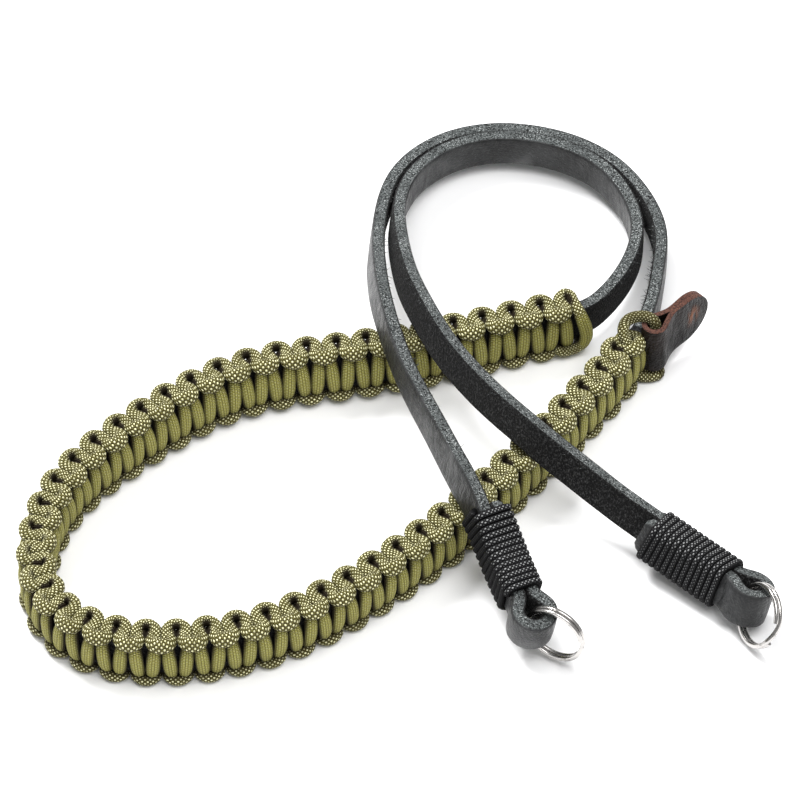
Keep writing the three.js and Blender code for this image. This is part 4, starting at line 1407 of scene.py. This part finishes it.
@dataclass
class LeatherTab:
    """Folded leather tab and the last loop of cord, which goes through its eye."""

    route: Route
    body: str = "strap"
    length: float = 21.0
    width: float = 16.8
    rise: float = 0.9
    leather: float = 1.5
    meeting: float = 6.2
    turn: float = -16.0
    cord_clearance: float = 0.9
    eye_clearance: float = 0.55
    cord_radius: float = 1.7
    layer_gap: float = 0.1
    ribbon_steps: int = 90
    ribbon_rows: int = 14
    narrowest: float = 1.2
    rub_place: float = 6.5
    rub_long: float = 3.4
    rub_high: float = 4.6
    ripple: float = 0.06
    edge_round: float = 0.25
    eye_open: float = 8.0
    cord_steps: int = 6
    cord_sides: int = 12

    def __post_init__(self) -> None:
        """Places the eye beside the strip, just clear of the braid's end."""
        frames = self.route.at_length(self.route.braid_start)
        along = frames.along[0] * np.array([-1.0, -1.0, 0.0])
        self.along = unit(along)
        self.out = np.cross(self.along, UP)
        self.centre = frames.centre[0]
        self.eye_radius = self.cord_radius + self.eye_clearance
        eye_outer = self.eye_radius + self.leather
        self.wall = self.route.strap_thickness / 2 + self.route.gap
        self.eye_offset = self.wall + eye_outer
        self.eye_distance = self.route.gap + eye_outer
        self.bottom = 2 * self.cord_radius + self.cord_clearance + self.rise

    def spot(self, out: float, height: float, along: float) -> Array:
        """Point beside the braid's end, with its height above the table."""
        flat = self.centre + self.out * out + self.along * along
        return np.array([flat[0], flat[1], height + self.route.shift[2]])

    def ribbon(self, steps: int) -> tuple[Array, Array]:
        """The folded leather seen from above.

        Args:
            steps: Parts of the ribbon.

        Returns:
            Points along and across from the eye's axis, and the distance from the nearer tip.
        """
        middle = self.eye_radius + self.leather / 2
        layer = (self.leather + self.layer_gap) / 2
        tangent = math.acos((middle - layer) / self.meeting) + math.radians(self.eye_open)
        arc = np.linspace(tangent, 2 * math.pi - tangent, 25)
        eye = np.stack([np.cos(arc), np.sin(arc)], axis=1) * middle
        front = np.array([[self.length, layer], [self.length * 0.62, layer], [self.meeting, layer]])
        back = front[::-1] * np.array([1.0, -1.0])
        line = through(np.concatenate([front, eye, back]), 6)
        lengths = path_lengths(line)
        even = np.linspace(0.0, lengths[-1], steps + 1)
        points = np.stack([np.interp(even, lengths, line[:, k]) for k in (0, 1)], axis=1)
        return points, np.minimum(even, lengths[-1] - even)

    def build(
        self, leather: bpy.types.Material, edge: bpy.types.Material, cord: bpy.types.Material,
    ) -> list[bpy.types.Object]:
        """Builds and dresses the tab and its cord.

        Args:
            leather: Material of the tab's faces.
            edge: Material of its cut edges.
            cord: Material of the cord.

        Returns:
            The pieces.
        """
        return [self.build_tab(leather, edge), self.build_cord(cord)]

    def build_tab(self, leather: bpy.types.Material, edge: bpy.types.Material) -> bpy.types.Object:
        """Builds the folded leather as a ribbon of one thickness with round tips.

        Args:
            leather: Material of the tab's faces.
            edge: Material of its cut edges.

        Returns:
            The tab.
        """
        steps = self.ribbon_steps
        points, left = self.ribbon(steps)
        tip = self.width / 2
        short = np.clip(tip - left, 0.0, tip)
        half = np.maximum(np.sqrt(np.maximum(tip ** 2 - short ** 2, 0.0)), self.narrowest)
        angle = math.atan2(self.along[1], self.along[0]) + math.radians(self.turn)
        ahead = np.array([math.cos(angle), math.sin(angle), 0.0])
        aside = np.array([-math.sin(angle), math.cos(angle), 0.0])
        eye = self.spot(self.eye_offset, self.bottom + self.width / 2, self.eye_distance)
        tab = new_grid("leather_tab_fold", steps, self.ribbon_rows)
        rubbed = tab.data.attributes.new("rubbed", "FLOAT", "POINT").data
        for vertex in tab.data.vertices:
            i = round((vertex.co.x + 0.5) * steps)
            share = vertex.co.y * 2
            off = math.hypot((left[i] - self.rub_place) / self.rub_long, (share - 0.1) * half[i] / self.rub_high)
            rubbed[vertex.index].value = max(0.0, 1.0 - off)
            wave = self.ripple * math.sin(4.0 * share + points[i][0] * 0.35) * min(left[i] / 6, 1)
            flat = eye + ahead * points[i][0] + aside * (points[i][1] + wave)
            vertex.co = Vector((flat + UP * half[i] * share) * MM)
        solid = tab.modifiers.new("thickness", "SOLIDIFY")
        solid.thickness = self.leather * MM
        solid.offset = 0
        solid.use_even_offset = True
        solid.material_offset_rim = 1
        round_off = tab.modifiers.new("round", "BEVEL")
        round_off.width = self.edge_round * MM
        round_off.segments = 2
        round_off.limit_method = "ANGLE"
        round_off.angle_limit = math.radians(55)
        tab.data.materials.append(leather)
        tab.data.materials.append(edge)
        bpy.context.view_layer.objects.active = tab
        for modifier in ("thickness", "round"):
            bpy.ops.object.modifier_apply(modifier=modifier)
        in_edit_mode(tab)
        face_outwards()
        smooth(tab, 40.0)
        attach(tab, self.body)
        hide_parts("leather_tab")
        return tab

    def build_cord(self, finish: bpy.types.Material) -> bpy.types.Object:
        """Builds the last loop of cord: over the tab, down its eye and back to the braid.

        Args:
            finish: Material of the cord.

        Returns:
            The cord.
        """
        frames = self.route.at_length(self.route.braid_start)
        rows = through(np.array(TAB_CORD_ROUTE), self.cord_steps)
        points = frames.place(out=rows[:, 2], up=rows[:, 1], along=rows[:, 0])
        run = unit(np.gradient(points, axis=0))
        across = np.repeat(frames.along, len(points), axis=0)
        rings = cord_rings(points, np.cross(run, across), self.cord_radius, self.cord_radius, self.cord_sides)
        # The whole loop takes the look of the braid's turns, with full painted highlight dots, and no painted shade.
        bare = np.ones(rings.shape[:2])
        cord = wrapped("tab_cord_loop", rings, values={"turn": bare, "open": bare})
        cord.data.materials.append(finish)
        smooth(cord)
        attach(cord, self.body)
        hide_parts("tab_cord")
        return cord


@dataclass
class Studio:
    """Pale floor, soft lights and the camera."""

    target: tuple[float, float, float] = (0.000257, 0.00438, 0.000024)
    elevation: float = 50.5
    distance: float = 2.0
    lens: float = 315.0
    floor_size: float = 4.0

    def build(self) -> None:
        """Builds the whole studio."""
        self.floor()
        self.camera()
        self.light("key", (-0.8, 0.9, 1.7), 0.7, 58.0)
        self.light("top", (0.4, -0.3, 2.0), 1.6, 42.0)
        world = bpy.context.scene.world or bpy.data.worlds.new("studio")
        bpy.context.scene.world = world
        world.use_nodes = True
        world.node_tree.nodes["Background"].inputs["Color"].default_value = (1.0, 1.0, 1.0, 1.0)
        world.node_tree.nodes["Background"].inputs["Strength"].default_value = 0.42
        bpy.context.scene.view_settings.view_transform = "Standard"

    def floor(self) -> None:
        """Lays a pale matt floor."""
        bpy.ops.object.select_all(action="DESELECT")
        bpy.ops.mesh.primitive_plane_add(size=self.floor_size, location=(0, 0, 0))
        floor = bpy.context.object
        floor.name = "floor"
        material = bpy.data.materials.new("pale floor")
        material.use_nodes = True
        shader = material.node_tree.nodes["Principled BSDF"]
        shader.inputs["Base Color"].default_value = (0.93, 0.93, 0.935, 1.0)
        shader.inputs["Roughness"].default_value = 0.9
        shader.inputs["Specular IOR Level"].default_value = 0.1
        floor.data.materials.append(material)

    def light(self, name: str, place: tuple[float, float, float], size: float, power: float) -> None:
        """Hangs a square soft light that looks at the strap.

        Args:
            name: Name of the light.
            place: Its place in metres.
            size: Its side in metres.
            power: Its power in watts.
        """
        data = bpy.data.lights.new(name, "AREA")
        data.size = size
        data.energy = power
        lamp = bpy.data.objects.new(name, data)
        lamp.location = place
        lamp.rotation_euler = (Vector(self.target) - Vector(place)).to_track_quat("-Z", "Y").to_euler()
        bpy.context.scene.collection.objects.link(lamp)

    def camera(self) -> None:
        """Sets the camera at the photograph's angle."""
        data = bpy.data.cameras.new("camera")
        data.lens = self.lens
        data.sensor_width = 36.0
        camera = bpy.data.objects.new("camera", data)
        tilt = math.radians(self.elevation)
        back = Vector((0.0, -math.cos(tilt), math.sin(tilt)))
        camera.location = Vector(self.target) + back * self.distance
        camera.rotation_euler = (-back).to_track_quat("-Z", "Y").to_euler()
        bpy.context.scene.collection.objects.link(camera)
        bpy.context.scene.camera = camera


@dataclass
class CameraStrap:
    """The whole strap, with its finishes."""

    route: Route = field(default_factory=Route)

    def build(self) -> list[bpy.types.Object]:
        """Builds every piece.

        Returns:
            The pieces.
        """
        weaves, flecks = weave_group(), fleck_group()
        grain = GrainLeather("strap grain", roughness=0.42).make()
        flesh = FleshLeather("strap flesh", roughness=0.95).make(flecks)
        edge = CutEdge("strap cut edge", roughness=0.85).make(flecks)
        olive = WovenCord("olive cord", roughness=0.7).make(weaves)
        # The whipping cord's light dots are painted highlights, and its lighter body is painted light along each
        # turn's crest.
        black = WovenCord(
            "black cord", roughness=0.65, weave=Weave.BLACK, body=(0.002, 0.002, 0.0022),
            body_light=(0.013, 0.013, 0.014), dot=(0.27, 0.275, 0.275), gap=(0.001, 0.001, 0.001),
            row=0.56, count=12.0, offset=0.5, shine=0.06, relief=0.15,
        ).make(weaves)
        wire = PlatedWire("bright wire", roughness=0.2).make()
        tab_leather = GrainLeather(
            "tab leather", roughness=0.4, dark=(0.003, 0.0026, 0.0026), light=(0.014, 0.008, 0.006),
            scuff=(0.22, 0.075, 0.03), scuff_from=0.85, shine=0.12, crease_scale=420.0, relief=1.1,
        ).make()
        tab_edge = CutEdge(
            "tab cut edge", roughness=0.8, base=(0.085, 0.035, 0.025), light=(0.3, 0.14, 0.09),
            dark=(0.02, 0.01, 0.008),
        ).make(flecks)
        left = Fold(self.route, -1, tail=0.3, turns=13)
        right = Fold(self.route, 1, tail=1.4, turns=13)
        made = LeatherStrip(self.route, (left, right)).build((grain, flesh, edge))
        made += LooseFibres(self.route).build(edge)
        made += CordBraid(self.route).build(olive)
        made += Whipping(left, "whipping_cord_left", "whipping_left").build(black)
        made += Whipping(right, "whipping_cord_right", "whipping_right").build(black)
        made += SplitRing(left, "ring_wire_left", "split_ring_left", "left_ring", 37.0).build(wire)
        made += SplitRing(right, "ring_wire_right", "split_ring_right", "right_ring", -27.0).build(wire)
        made += LeatherTab(self.route).build(tab_leather, tab_edge, olive)
        return made


def main() -> None:
    """Builds the strap and the studio in order, and reports each piece."""
    logging.basicConfig(level=logging.INFO, format="%(message)s")
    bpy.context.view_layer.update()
    Studio().build()
    for piece in CameraStrap().build():
        low, high = (
            [round(end(v.co[k] for v in piece.data.vertices) / MM, 1) for k in range(3)] for end in (min, max)
        )
        log.info("%s: %d faces, %s to %s mm", piece.name, len(piece.data.polygons), low, high)


if __name__ == "__main__":
    main()
